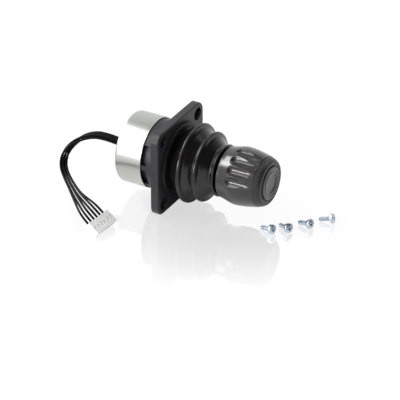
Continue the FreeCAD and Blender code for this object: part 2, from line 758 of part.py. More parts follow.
def board(name, x):
    holes = board_rods(name + "_hole", x - PAST, s.board_thick + 2 * PAST, s.board_screw)
    return cut(name, rod(name + "_blank", x, s.board_thick, board_radius), holes)


keep(board("sensor_board", sensor_rear), "sensor_board")
keep(board("lead_board", lead_rear), "lead_board")


def sensor_chips():
    half = s.sensor_side / 2.0
    chips = []
    for index, (y, z) in enumerate(((1, 0), (-1, 0), (0, 1), (0, -1)), start=1):
        chips.append(block("sensor_%d" % index, sensor_face, s.sensor_offset * y - half,
                           s.sensor_offset * z - half, s.sensor_height, s.sensor_side,
                           s.sensor_side))
    return group("hall_sensors", chips)


keep(sensor_chips(), "hall_sensors")


def front_standoffs():
    """Sleeves from the carrier to the sensor board, and from board to board."""
    sleeves = []
    for name, x, length in (("front", sensor_face, s.board_stand),
                            ("rear", lead_face, s.board_spacing)):
        outer = board_rods("standoff_" + name, x, length, s.standoff_radius)
        inner = board_rods("standoff_%s_bore" % name, x - PAST, length + 2 * PAST, s.board_screw)
        for index, (sleeve, hole) in enumerate(zip(outer, inner), start=1):
            sleeves.append(cut("standoff_%s_tube_%d" % (name, index), sleeve, [hole]))
    return group("board_standoffs", sleeves)


keep(front_standoffs(), "board_standoffs")


def board_screws():
    """Pan screws from behind the lead board into the carrier."""
    reach = s.board_screw_bite - s.neck_length - lead_rear
    shanks = board_rods("board_screw_shank", lead_rear, reach, s.board_screw)
    heads = board_rods("board_screw_head", lead_rear - s.board_screw_rise, s.board_screw_rise,
                       s.board_screw_head)
    pieces = []
    for index, (shank, head) in enumerate(zip(shanks, heads), start=1):
        pieces.append(join("board_screw_%d" % index, [shank, head]))
    return group("board_screws", pieces)


keep(board_screws(), "board_screws")


# Output stage on the front of the lead board: y, z, height, width, depth of each package.
OUTPUT_CHIPS = [
    (-3.0, 2.0, 1.4, 6.0, 4.0),
    (-5.5, -6.0, 1.6, 4.5, 3.5),
    (1.5, -6.0, 2.2, 3.2, 3.2),
]


def output_chips():
    chips = []
    for index, (y, z, height, width, depth) in enumerate(OUTPUT_CHIPS, start=1):
        chips.append(block("output_chip_%d" % index, lead_face, y, z, height, width, depth))
    return group("output_chips", chips)


keep(output_chips(), "output_chips")


# The can is drawn sheet metal, pushed over the neck, with a rounded rear shoulder
# and a hole in its middle for the grommet.
def can():
    tight = s.can_shoulder - s.can_wall
    return turned("can_shield", [
        (-s.can_front, can_inner),
        (-s.can_front, can_radius),
        (can_rear + s.can_shoulder, can_radius),
        (can_rear, can_radius - s.can_shoulder, s.can_shoulder * QUARTER),
        (can_rear, s.grommet_bore),
        (can_rear + s.can_wall, s.grommet_bore),
        (can_rear + s.can_wall, can_inner - tight),
        (can_rear + s.can_wall + tight, can_inner, -(tight * QUARTER)),
    ])


keep(can(), "can_shield")


# The grommet clips into the can, with a flange on each side of the sheet and six
# bores, one to a lead.
LEADS = 6


def lane_and_layer(lead):
    """Place of a lead across the bundle, and of its layer."""
    return lead - (LEADS - 1) / 2.0, 0.5 if lead % 2 else -0.5


def lead_places():
    """Side and height of the six leads where they leave the grommet."""
    places = []
    for lead in range(LEADS):
        lane, layer = lane_and_layer(lead)
        places.append((s.lead_lane * lane, s.lead_layer * layer))
    return places


def grommet():
    body = turned("grommet_blank", [
        (can_rear - s.grommet_rise, 0.0),
        (can_rear - s.grommet_rise, s.grommet_flange - s.grommet_edge),
        (can_rear - s.grommet_rise + s.grommet_edge, s.grommet_flange),
        (can_rear, s.grommet_flange),
        (can_rear, s.grommet_bore),
        (can_rear + s.can_wall, s.grommet_bore),
        (can_rear + s.can_wall, s.grommet_flange),
        (can_rear + s.can_wall + s.grommet_edge, s.grommet_flange),
        (can_rear + s.can_wall + s.grommet_edge, 0.0),
    ])
    bores = []
    depth = s.grommet_rise + s.can_wall + s.grommet_edge + 2 * PAST
    for index, (y, z) in enumerate(lead_places(), start=1):
        bores.append(rod("grommet_bore_%d" % index, can_rear - s.grommet_rise - PAST, depth,
                         s.lead_radius, y, z))
    return cut("cable_grommet", body, bores)


keep(grommet(), "cable_grommet")


def lead_tails():
    """The stripped ends of the leads, from the lead board through the grommet."""
    tails = []
    rear = can_rear - s.grommet_rise
    for index, (y, z) in enumerate(lead_places(), start=1):
        tails.append(rod("lead_tail_%d" % index, rear, lead_rear - rear, s.lead_radius, y, z))
    return group("lead_tails", tails)


keep(lead_tails(), "lead_tails")


# The six loose leads. Each row of the route is the middle of the bundle, the step from
# lane to lane and the step from layer to layer there. The bundle leaves straight back,
# turns over in the air and comes down low, then fans out to the plug, which stands on its
# nose because the leads are stiff for their length.
ROUTE = [
    ((-24.2, 0.0, 0.0), (0.0, 0.70, 0.0), (0.0, 0.0, 1.25)),
    ((-30.4, 0.0, 0.0), (0.0, 0.70, 0.0), (0.0, 0.0, 1.25)),
    ((-37.4, 0.3, 0.5), (-0.05, 0.72, 0.0), (-0.1, 0.0, 1.32)),
    ((-44.4, 0.1, 0.2), (-0.14, 0.72, 0.0), (-0.28, -0.06, 1.31)),
    ((-50.8, -1.8, -2.3), (-0.22, 0.66, -0.16), (-0.65, 0.05, 1.12)),
    ((-55.4, -5.0, -6.2), (0.05, 0.57, -0.48), (-1.10, 0.50, 0.48)),
    ((-57.2, -8.6, -10.8), (0.46, 0.43, -0.39), (-1.01, 0.70, -0.42)),
    ((-55.7, -12.3, -14.9), (0.50, 0.48, -0.12), (-0.71, 0.49, -0.97)),
    ((-51.2, -16.4, -17.3), (0.50, 0.52, 0.0), (-0.32, 0.27, -1.21)),
    ((-44.6, -22.7, -17.3), (0.50, 0.64, 0.0), (0.05, -0.05, -1.22)),
    ((-36.7, -31.4, -15.2), (0.46, 0.96, 0.0), (0.05, -0.05, -1.00)),
    ((-28.1, -40.1, -12.8), (0.34, 1.62, 0.0), (0.05, 0.0, -0.35)),
    ((-21.19, -45.38, -12.92), (0.179, 2.494, 0.0), (0.0, 0.0, 0.0)),
    ((-16.87, -45.69, -16.304), (0.179, 2.494, 0.0), (0.0, 0.0, 0.0)),
]


def lead_points(lead):
    """The route of one lead, as corner points."""
    lane, layer = lane_and_layer(lead)
    points = []
    for middle, across, over in ROUTE:
        points.append(Vector(*middle) + Vector(*across) * lane + Vector(*over) * layer)
    return points


BEND_SHARE = 0.45  # share of the shorter run that an arc takes from each run


def lead(label, points, radius):
    """A round lead along straight runs joined by tangent arcs."""
    edges = []
    radii = []
    start = points[0]
    for before, corner, after in zip(points, points[1:], points[2:]):
        into = corner - before
        out = after - corner
        taken = BEND_SHARE * min(into.Length, out.Length)
        turn = into.getAngle(out)
        radii.append(taken / math.tan(turn / 2))
        first = corner - into.normalize() * taken
        last = corner + out.normalize() * taken
        bisector = (out - into).normalize()
        reach = radii[-1] * (1 / math.cos(turn / 2) - 1)
        edges.append(Part.LineSegment(start, first).toShape())
        edges.append(Part.Arc(first, corner + bisector * reach, last).toShape())
        start = last
    edges.append(Part.LineSegment(start, points[-1]).toShape())
    path = Part.Wire(edges)
    section = Part.Wire(Part.makeCircle(radius, points[0], points[1] - points[0]))
    tube = path.makePipeShell([section], True, True)
    share = tube.Volume / (math.pi * radius ** 2 * path.Length)
    print("%s: length %.1f mm, volume share %.4f, least radius %.1f mm"
          % (label, path.Length, share, min(radii)))
    piece = doc.addObject("Part::Feature", label)
    piece.Shape = tube
    piece.Placement = Placement()
    return piece


for number in range(LEADS):
    label = "lead_%d" % (number + 1)
    keep(lead(label, lead_points(number), plain(s.lead_radius)), label)


# The plug: a flat white housing with a cavity and a crimped contact for each lead. It
# leans forward, with the lower edge of its nose on the table.
floor = -s.flange_side / 2.0
plug_turn = Rotation(Vector(0, 0, 1), plain(s.plug_yaw)) * Rotation(Vector(0, 1, 0), plain(s.plug_lean))
plug_rise = floor + s.plug_length * math.sin(math.radians(plain(s.plug_lean)))


def plug_place(thing):
    """Turn a piece of the plug about the middle of its lead end, and set it down."""
    thing.Placement = Placement(
        Vector(-plain(s.plug_rear), -plain(s.plug_side), plain(plug_rise)), plug_turn)
    bind(thing, "Placement.Base.x", -s.plug_rear)
    bind(thing, "Placement.Base.y", -s.plug_side)
    bind(thing, "Placement.Base.z", plug_rise)
    return thing


def slot_sides():
    """Sideways places of the six cavities."""
    return [s.plug_pitch * lane_and_layer(number)[0] for number in range(LEADS)]


def plug_housing():
    half = s.plug_width / 2.0
    shell = block("plug_shell", 0.0, -half, 0.0, s.plug_length, s.plug_width, s.plug_height)
    tools = []
    for index, side in enumerate(slot_sides(), start=1):
        tools.append(block("plug_cavity_%d" % index, s.plug_length - s.plug_slot_depth,
                           side - s.plug_slot / 2.0, (s.plug_height - s.plug_slot) / 2.0,
                           s.plug_slot_depth + PAST, s.plug_slot, s.plug_slot))
        tools.append(block("plug_latch_%d" % index, s.latch_place, side - s.latch_width / 2.0,
                           s.plug_height - s.latch_depth, s.latch_length, s.latch_width,
                           s.latch_depth + PAST))
    return plug_place(cut("plug_housing", shell, tools))


keep(plug_housing(), "plug_housing")


def plug_contacts():
    """Box contacts, open towards the mating end, on the floors of their cavities."""
    rear = s.plug_length - s.plug_slot_depth
    low = (s.plug_height - s.plug_slot) / 2.0
    mouth_side = s.contact_side - s.contact_wall * 2.0
    contacts = []
    for index, side in enumerate(slot_sides(), start=1):
        outer = block("contact_%d" % index, rear, side - s.contact_side / 2.0, low,
                      s.plug_slot_depth - s.contact_back, s.contact_side, s.contact_side)
        mouth = block("contact_mouth_%d" % index, rear + s.contact_crimp, side - mouth_side / 2.0,
                      low + s.contact_wall, s.plug_slot_depth, mouth_side, mouth_side)
        contacts.append(cut("contact_box_%d" % index, outer, [mouth]))
    return plug_place(group("plug_contacts", contacts))


keep(plug_contacts(), "plug_contacts")


# The knob: a grip shell with two opposite groups of finger flutes, a bush that runs on
# the lever, a front bezel, and a return spring round the bush.
shell_front_inner = s.grip_front_radius - s.knob_wall


def grip_blank():
    floor_front = s.knob_rear + s.knob_floor
    return turned("grip_blank", [
        (s.knob_rear, s.bush_radius),
        (s.knob_rear, s.knob_collar_radius - s.small_chamfer),
        (s.knob_rear + s.small_chamfer, s.knob_collar_radius),
        (s.knob_flare_rear, s.knob_collar_radius + s.collar_taper),
        (s.knob_flare_front, s.knob_radius, -s.flare_hollow),
        (s.grip_front, s.grip_front_radius, s.grip_swell),
        (s.grip_front, shell_front_inner),
        (floor_front + s.floor_fillet, shell_front_inner),
        (floor_front, shell_front_inner - s.floor_fillet),
        (floor_front, s.bush_radius),
    ])


def flute_tools():
    """Round-nosed cutters on both groups of flutes, each turned about its own line."""
    reach = plain(s.knob_radius + s.flute_radius - s.flute_depth)
    tools = []
    for group_angle in (0.0, 180.0):
        for step in (-1.5, -0.5, 0.5, 1.5):
            angle = math.radians(plain(s.flute_centre) + group_angle + step * plain(s.flute_step))
            tool = turned("flute_%d" % (len(tools) + 1), [
                (s.flute_rear, 0.0),
                (s.flute_rear + s.flute_radius, s.flute_radius, s.flute_radius * QUARTER),
                (s.grip_front + PAST, s.flute_radius),
                (s.grip_front + PAST, 0.0),
            ])
            tools.append(place(tool, 0.0, -reach * math.sin(angle), reach * math.cos(angle)))
    return tools


keep(cut("grip_shell", grip_blank(), flute_tools()), "grip_shell")

keep(turned("knob_bush", [
    (s.knob_rear, s.shaft_radius + s.run_gap),
    (s.knob_rear, s.bush_radius),
    (bush_front, s.bush_radius),
    (bush_front, s.shaft_radius + s.run_gap),
]), "knob_bush")


bezel_front = s.grip_front + s.bezel_rise
well_radius = s.button_radius + s.free_gap / 2.0
seat_front = s.grip_front + s.button_seat


def bezel():
    rear = s.grip_front - s.bezel_spigot
    return turned("front_bezel", [
        (rear, well_radius + s.button_lip),
        (rear, shell_front_inner - s.fit_gap),
        (s.grip_front, shell_front_inner - s.fit_gap),
        (s.grip_front, s.grip_front_radius - s.bezel_step),
        (bezel_front - s.bezel_lip, s.bezel_front_radius + s.bezel_widen),
        (bezel_front, s.bezel_front_radius, s.bezel_lip * QUARTER),
        (bezel_front, well_radius + s.well_chamfer),
        (bezel_front - s.well_chamfer, well_radius),
        (seat_front, well_radius),
        (seat_front, well_radius + s.button_lip),
    ])


keep(bezel(), "front_bezel")


# The push button slides in the bezel, kept by a lip behind the bezel's shoulder, and
# its stem stands on the plunger of the switch.
button_face = bezel_front + s.button_rise
switch_face = s.shaft_front + s.board_thick
stem_end = switch_face + s.switch_height


def button():
    inner = s.button_radius - s.button_wall
    crown = button_face - s.button_wall - s.button_dish_depth
    lip_front = seat_front - s.fit_gap
    return turned("push_button", [
        (stem_end, 0.0),
        (stem_end, s.stem_radius),
        (crown, s.stem_radius),
        (crown, inner),
        (lip_front - s.button_lip, inner),
        (lip_front - s.button_lip, s.button_radius + s.button_lip),
        (lip_front, s.button_radius + s.button_lip),
        (lip_front, s.button_radius),
        (button_face - s.button_edge, s.button_radius),
        (button_face, s.button_radius - s.button_edge),
        (button_face, s.button_dish),
        (button_face - s.button_dish_depth, s.button_dish - s.button_edge),
        (button_face - s.button_dish_depth, 0.0),
    ])


keep(button(), "push_button")
plunger_foot = switch_face + s.switch_floor + s.button_travel + s.fit_gap
keep(rod("switch_plunger", plunger_foot, stem_end - plunger_foot, s.plunger_radius),
     "switch_plunger")


# On the shaft's front end, a small board carries the twist sensor and the switch.
keep(rod("twist_board", s.shaft_front, s.board_thick, s.twist_board_radius), "twist_board")


def tactile_switch():
    half = s.switch_side / 2.0
    case = block("switch_case", switch_face, -half, -half, s.switch_case, s.switch_side,
                 s.switch_side)
    bore = rod("switch_bore", switch_face + s.switch_floor, s.switch_height,
               s.plunger_radius + s.run_gap)
    return cut("tactile_switch", case, [bore])


keep(tactile_switch(), "tactile_switch")
keep(block("twist_sensor", switch_face, -s.sensor_side / 2.0,
           s.switch_side / 2.0 + s.sensor_aside, s.sensor_height, s.sensor_side, s.sensor_side),
     "twist_sensor")

# The twist magnet is stuck to the inside of the grip, above the sensor.
keep(block("twist_magnet", switch_face, -s.twist_magnet_side / 2.0,
           shell_front_inner - s.twist_magnet_in - s.twist_magnet_thick, s.twist_magnet_length,
           s.twist_magnet_side, s.twist_magnet_thick), "twist_magnet")


# The twist spring is an open ring of round wire that lies on the grip's floor round the bush.
def twist_spring():
    spring = doc.addObject("Part::Torus", "twist_ring")
    bind(spring, "Radius1", s.twist_spring_radius)
    bind(spring, "Radius2", s.twist_spring_wire / 2.0)
    bind(spring, "Angle3", s.twist_spring_sweep)
    return place(spring, s.knob_rear + s.knob_floor + s.twist_spring_wire / 2.0 + s.fit_gap,
                 turn=TURNS["X"])


keep(twist_spring(), "twist_spring")


# Four loose pan-head screws for the flange lie before the knob, heads to the right.
LOOSE_SCREWS = [
    # middle of the head's underside: x, y, and the way the shank points, in degrees
    (58.0, -8.2, 170.0),
    (64.3, -3.0, 158.0),
    (71.5, 5.2, 172.0),
    (78.6, 14.8, 197.0),
]


def loose_screw(name, x, y, heading):
    """A pan-head screw lying on its head's rim and its tip."""
    shank = rod(name + "_shank", 0.0, s.loose_length, s.loose_shank)
    head = rod(name + "_head", -s.loose_rise, s.loose_rise, s.loose_head)
    deep = s.loose_cross_depth + PAST
    wide = block(name + "_slot_a", -s.loose_rise - PAST, -s.loose_cross, -s.loose_slot / 2.0,
                 deep, s.loose_cross * 2.0, s.loose_slot)
    tall = block(name + "_slot_b", -s.loose_rise - PAST, -s.loose_slot / 2.0, -s.loose_cross,
                 deep, s.loose_slot, s.loose_cross * 2.0)
    screw = cut(name, join(name + "_blank", [shank, head]), [wide, tall])
    lean = math.degrees(math.atan2(plain(s.loose_head - s.loose_shank), plain(s.loose_length)))
    height = plain(floor) + plain(s.loose_head) * math.cos(math.radians(lean))
    turn = Rotation(Vector(0, 0, 1), heading) * Rotation(Vector(0, 1, 0), lean)
    screw.Placement = Placement(Vector(x, y, height), turn)
    return screw


keep(group("mounting_screws", [
    loose_screw("loose_screw_%d" % index, *where)
    for index, where in enumerate(LOOSE_SCREWS, start=1)
]), "mounting_screws")


doc.recompute()

faults = []
for thing in doc.Objects:
    if "Invalid" in thing.State or "Error" in thing.State:
        faults.append("%s: %s" % (thing.Name, thing.State))
for thing in parts:
    if thing.Shape.isNull() or not thing.Shape.isValid():
        faults.append("%s: its shape is empty or not valid" % thing.Label)
if faults:
    raise RuntimeError("; ".join(faults))

os.makedirs("parts", exist_ok=True)
for thing in parts:
    thing.Shape.exportStep("parts/%s.step" % thing.Label)
    print("%-18s %2d solids  %9.2f mm3" % (thing.Label, len(thing.Shape.Solids), thing.Shape.Volume))
print(len(parts), "pieces")
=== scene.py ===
import math

import bmesh
import bpy
import numpy as np
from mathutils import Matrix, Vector


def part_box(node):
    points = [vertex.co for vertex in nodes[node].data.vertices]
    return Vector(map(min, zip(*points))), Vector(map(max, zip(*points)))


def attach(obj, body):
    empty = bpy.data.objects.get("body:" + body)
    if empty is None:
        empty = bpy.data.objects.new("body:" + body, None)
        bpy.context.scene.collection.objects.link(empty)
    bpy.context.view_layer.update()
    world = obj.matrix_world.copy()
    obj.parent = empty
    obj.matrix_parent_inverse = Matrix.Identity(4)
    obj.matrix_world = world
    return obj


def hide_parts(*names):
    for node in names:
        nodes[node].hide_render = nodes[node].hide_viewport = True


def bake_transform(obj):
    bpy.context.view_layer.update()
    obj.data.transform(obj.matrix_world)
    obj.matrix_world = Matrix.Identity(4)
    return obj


# Finger joystick, lying on the lower edge of its flange, with its lead bundle and plug on
# the near side and four loose screws before the knob. X runs along the lever, Z is up.
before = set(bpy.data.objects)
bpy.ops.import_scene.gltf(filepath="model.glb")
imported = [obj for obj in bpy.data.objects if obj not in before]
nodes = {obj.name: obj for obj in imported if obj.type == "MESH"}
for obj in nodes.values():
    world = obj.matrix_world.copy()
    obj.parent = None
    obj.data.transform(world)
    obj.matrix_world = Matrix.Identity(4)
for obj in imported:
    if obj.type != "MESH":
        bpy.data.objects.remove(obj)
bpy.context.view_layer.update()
scene = bpy.context.scene
scene.view_settings.view_transform = "Standard"

# Camera: a long lens, 29 degrees round towards the knob and 30 degrees above the table.
# Place and lens were fitted to the flange's corners, the ridges and the can's edge.
CAMERA_PLACE = (0.63874, -1.11349, 0.72539)
CAMERA_LOOKS = (-0.42218, 0.75323, -0.50439)
camera_data = bpy.data.cameras.new("camera")
camera_data.sensor_width = 36.0
camera_data.lens = 273.4
camera = bpy.data.objects.new("camera", camera_data)
camera.location = CAMERA_PLACE
camera.rotation_euler = Vector(CAMERA_LOOKS).to_track_quat("-Z", "Y").to_euler()
scene.collection.objects.link(camera)
scene.camera = camera


# Table: a white glossy sheet that the flange's lower edge stands on. It shows a faint
# mirror image of the joystick, which fades out away from the boot's front end, and it has a
# painted shade under the boot that only what shines sees.


class Value:
    """A shader socket that takes part in sums: each sign adds one Math node."""

    def __init__(self, finish, socket):
        self.finish = finish
        self.socket = socket

    def _maths(self, operation, first, second):
        return self.finish.node("ShaderNodeMath", {"operation": operation}, {0: first, 1: second})

    def __add__(self, other):
        return self._maths("ADD", self, other)

    def __radd__(self, other):
        return self._maths("ADD", other, self)

    def __rsub__(self, other):
        return self._maths("SUBTRACT", other, self)

    def __mul__(self, other):
        return self._maths("MULTIPLY", self, other)

    def __rmul__(self, other):
        return self._maths("MULTIPLY", other, self)

    def __gt__(self, other):
        return self._maths("GREATER_THAN", self, other)


class Finish:
    """A material of this joystick, made of nodes, on one Principled shader."""

    def __init__(self, name, **plain):
        self.material = bpy.data.materials.new(name)
        self.material.use_nodes = True
        self.tree = self.material.node_tree
        self.shader = self.tree.nodes["Principled BSDF"]
        for socket, value in plain.items():
            self.shader.inputs[socket.replace("_", " ")].default_value = value

    def node(self, kind, settings=None, inputs=None, output=0):
        """Add a node: its settings first, then numbers, colours or links to its sockets."""
        made = self.tree.nodes.new(kind)
        for name, value in (settings or {}).items():
            setattr(made, name, value)
        for name, value in (inputs or {}).items():
            self.join(value, made.inputs[name])
        return Value(self, made.outputs[output])

    def join(self, value, socket):
        """Link a value to a socket, or set the socket to a plain one."""
        if isinstance(value, Value):
            self.tree.links.new(value.socket, socket)
        else:
            socket.default_value = value

    def set(self, socket, value):
        """Give one of the shader's own sockets its value."""
        self.join(value, self.shader.inputs[socket])
        return self

    def place(self, scale=(1.0, 1.0, 1.0)):
        """Object coordinates, in metres times the scale."""
        where = self.node("ShaderNodeTexCoord", output="Object")
        return self.node("ShaderNodeMapping", None, {"Vector": where, "Scale": scale})

    def noise(self, scale, detail=2.0, rough=0.5, stretch=(1.0, 1.0, 1.0)):
        """Cloudy grain from 0 to 1, with that many grains to the metre."""
        return self.node("ShaderNodeTexNoise", None, {
            "Vector": self.place(stretch), "Scale": scale, "Detail": detail, "Roughness": rough})

    def ray(self, kind):
        """1 for rays of that kind, and 0 for the rest."""
        return self.node("ShaderNodeLightPath", output=kind)

    def fade(self, value, first, last):
        """0 at first and before it, 1 at last and past it, and smooth between them."""
        return self.node("ShaderNodeMapRange", {"interpolation_type": "SMOOTHSTEP"}, {
            "Value": value, "From Min": first, "From Max": last})

    def tint(self, mask, dark, light):
        """A colour between dark and light, by the mask."""
        return self.node("ShaderNodeMix", {"data_type": "RGBA"}, {
            "Factor": mask, 6: (*dark, 1.0), 7: (*light, 1.0)}, output=2)

    def relief(self, height, depth):
        """Bump from a height of 0 to 1 that is that many metres deep."""
        bump = self.node("ShaderNodeBump", None, {"Height": height, "Distance": depth})
        self.set("Normal", bump)

    def on(self, *pieces):
        """Put the finish on pieces, CAD nodes by name."""
        for piece in pieces:
            thing = nodes[piece] if isinstance(piece, str) else piece
            thing.data.materials.clear()
            thing.data.materials.append(self.material)


TABLE_HALF = 3.0
TABLE_GAP = 0.00005
flange_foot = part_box("flange_housing")[0].z
table_level = flange_foot - TABLE_GAP
TABLE_WHITE = 0.92
MIRROR_SHARE = 0.27
MIRROR_MIDDLE = (0.030, 0.0, table_level)
MIRROR_FULL, MIRROR_GONE = 0.024, 0.090
# Painted shade: round this middle under the boot, rays that shine see the table darker.
PAINTED_SHADE_MIDDLE = (0.008, 0.0, table_level)
PAINTED_SHADE_FULL, PAINTED_SHADE_GONE = 0.014, 0.045


def table_top():
    """A level square of four corners, just below the flange's lower edge."""
    mesh = bpy.data.meshes.new("table")
    sides = [(-1, -1), (1, -1), (1, 1), (-1, 1)]
    corners = [(x * TABLE_HALF, y * TABLE_HALF, table_level) for x, y in sides]
    mesh.from_pydata(corners, [], [(0, 1, 2, 3)])
    table = bpy.data.objects.new("table", mesh)
    scene.collection.objects.link(table)
    return table


def table_finish(table):
    """White to the eye, with a share of gloss that mirrors the joystick.

    What shines mirrors it white too, but for a patch of painted shade under the boot, where
    what shines sees the table darker. Patch and gloss fade with the distance from their middles.
    """
    white = (1.0, 1.0, 1.0, 1.0)
    finish = Finish("white_table", Base_Color=(0.92, 0.92, 0.92, 1.0), Roughness=0.6)
    glow = finish.node("ShaderNodeEmission", None, {"Color": white, "Strength": 1.0})
    gloss = finish.node("ShaderNodeBsdfGlossy", None, {"Color": white, "Roughness": 0.06})
    matt = Value(finish, finish.shader.outputs[0])
    seen, shining = finish.ray("Is Camera Ray"), finish.ray("Is Glossy Ray")
    from_painted_shade, from_mirror = (
        finish.node("ShaderNodeVectorMath", {"operation": "DISTANCE"}, {
            0: finish.place(), 1: middle}, output="Value")
        for middle in (PAINTED_SHADE_MIDDLE, MIRROR_MIDDLE))
    # Painted shade: for rays that shine, the table's glow is cut near the boot's foot.
    bright = seen + shining * finish.fade(from_painted_shade, PAINTED_SHADE_FULL, PAINTED_SHADE_GONE)
    glossy = seen * finish.fade(from_mirror, MIRROR_GONE, MIRROR_FULL) * MIRROR_SHARE
    lit = finish.node("ShaderNodeMixShader", None, {0: bright * TABLE_WHITE, 1: matt, 2: glow})
    mirrored = finish.node("ShaderNodeMixShader", None, {0: glossy, 1: lit, 2: gloss})
    finish.join(mirrored, finish.tree.nodes["Material Output"].inputs["Surface"])
    finish.on(table)


table_finish(table_top())


# Studio: white behind the table. What shines mirrors a pale horizon that is darker
# overhead and beyond the knob, and a weak even light comes from all round. Two broad lamps
# hang behind the can, a smaller one low on the near side, and two weak ones light the rest.


class Room(Finish):
    """The studio round the table, as the world's nodes."""

    def __init__(self, name):
        self.world = bpy.data.worlds.new(name)
        self.world.use_nodes = True
        self.tree = self.world.node_tree
        self.shader = self.tree.nodes["Background"]


AIR = 0.40
OVERHEAD_LOSS = 0.50
OVERHEAD_FROM, OVERHEAD_TO = 0.55, 0.98
KNOB_SIDE_LOSS = 0.93
KNOB_SIDE_FROM, KNOB_SIDE_TO = 0.10, 0.70
studio = Room("studio")
where = studio.node("ShaderNodeTexCoord", output="Generated")
across = studio.node("ShaderNodeSeparateXYZ", None, {0: where}, output=0)
height = studio.node("ShaderNodeSeparateXYZ", None, {0: where}, output=2)
overhead = studio.fade(height, OVERHEAD_FROM, OVERHEAD_TO)
knob_side = studio.fade(across, KNOB_SIDE_FROM, KNOB_SIDE_TO)
mirrored = (1.0 - OVERHEAD_LOSS * overhead) * (1.0 - KNOB_SIDE_LOSS * knob_side)
seen, shining = studio.ray("Is Camera Ray"), studio.ray("Is Glossy Ray")
level = seen + (1.0 - seen) * (shining * mirrored + (1.0 - shining) * AIR)
studio.set("Strength", level).set("Color", (1.0, 1.0, 1.0, 1.0))
scene.world = studio.world

LAMPS = [
    # name, place, side in metres, watts
    ("left_lamp", (-0.56, -0.33, 0.76), 0.56, 4.6),
    ("side_lamp", (-0.86, -0.06, 0.44), 0.60, 11.0),
    ("low_lamp", (-0.42, -0.87, 0.24), 0.34, 4.2),
    ("back_lamp", (0.45, 0.60, 0.75), 0.4, 1.2),
    ("top_lamp", (0.15, 0.0, 1.1), 0.6, 0.9),
]
for name, where, side, power in LAMPS:
    lamp_data = bpy.data.lights.new(name, "AREA")
    lamp_data.size = side
    lamp_data.energy = power
    lamp = bpy.data.objects.new(name, lamp_data)
    lamp.location = where
    lamp.rotation_euler = (-Vector(where)).to_track_quat("-Z", "Y").to_euler()
    scene.collection.objects.link(lamp)

# Flange and neck: one injection moulding of black glass-filled nylon. Its surface has a
# fine eroded grain, and is rubbed a little greyer in broad patches.
housing = Finish("black_nylon", Specular_IOR_Level=0.42)
grain = housing.noise(5200.0, 3.0, 0.6)
patches = housing.noise(60.0, 2.0, 0.5)
housing.set("Base Color", housing.tint(patches, (0.012, 0.011, 0.015), (0.026, 0.024, 0.031)))
housing.set("Roughness", 0.32 + grain * 0.22)
housing.relief(grain, 0.00004)
housing.on("flange_housing", "gimbal_carrier")

# Boot retainer: a glossy black ring, moulded in the same nylon as the flange, that clamps
# the boot's foot down. Its front edges are rounded and a shallow step runs inside it.
CRISP_ANGLE = math.radians(32)
ONE_POINT = 1e-8


def skin(name, grid, round_rows=False):
    """A mesh through a grid of points: rows, columns, xyz.

    Each four neighbours make a face. The last column joins the first, and so does the
    last row where the piece's profile is a closed loop. Points that coincide at a pole
    become one, and the faces turn outwards by the sign of the volume. Edges sharper than
    the crisp angle stay sharp.
    """
    rows, columns = grid.shape[:2]
    index = np.arange(rows * columns).reshape(rows, columns)
    index = np.concatenate([index, index[:, :1]], axis=1)
    if round_rows:
        index = np.concatenate([index, index[:1]], axis=0)
    faces = np.stack([index[:-1, :-1], index[:-1, 1:], index[1:, 1:], index[1:, :-1]], axis=-1)
    faces = faces.reshape(-1, 4)
    points = grid.reshape(-1, 3)
    a, b, c, d = (points[faces[:, k]] for k in range(4))
    volume = np.einsum("ij,ij->i", a, np.cross(b, c) + np.cross(c, d)).sum()
    if volume < 0:
        faces = faces[:, ::-1]
    mesh = bpy.data.meshes.new(name)
    mesh.from_pydata(points.tolist(), [], faces.tolist())
    shape = bmesh.new()
    shape.from_mesh(mesh)
    bmesh.ops.remove_doubles(shape, verts=shape.verts, dist=ONE_POINT)
    shape.to_mesh(mesh)
    shape.free()
    mesh.validate()
    mesh.shade_smooth()
    mesh.set_sharp_from_angle(angle=CRISP_ANGLE)
    piece = bpy.data.objects.new(name, mesh)
    scene.collection.objects.link(piece)
    return piece


def rounded(corners, radii, steps=6):
    """A profile of x, r corners with each corner cut to an arc of the given radius.

    The arc is the quadratic curve from one tangent point to the other, with the corner
    as its control point, which lies within a few per cent of the true arc.
    """
    corners = np.asarray(corners, float)
    out = []
    count = len(corners)
    for k in range(count):
        before, here, after = corners[k - 1], corners[k], corners[(k + 1) % count]
        if radii[k] == 0.0:
            out.append(here[None])
            continue
        into = (here - before) / np.linalg.norm(here - before)
        away = (after - here) / np.linalg.norm(after - here)
        t = np.linspace(0.0, 1.0, steps)[:, None]
        start, end = here - into * radii[k], here + away * radii[k]
        out.append((1 - t) ** 2 * start + 2 * t * (1 - t) * here + t ** 2 * end)
    return np.concatenate(out)


def around(x, radius, angle):
    """Points at x along the lever, at the radius from it, turned by the angle from above."""
    return np.stack([x, -radius * np.sin(angle), radius * np.cos(angle)], axis=-1)


def turned(profile, columns):
    """Points of a turned piece: x, r of the profile carried round the lever axis."""
    angle = np.linspace(0.0, 2 * math.pi, columns, endpoint=False)
    x = np.repeat(profile[:, :1], columns, axis=1)
    return around(x, profile[:, 1:2], angle)


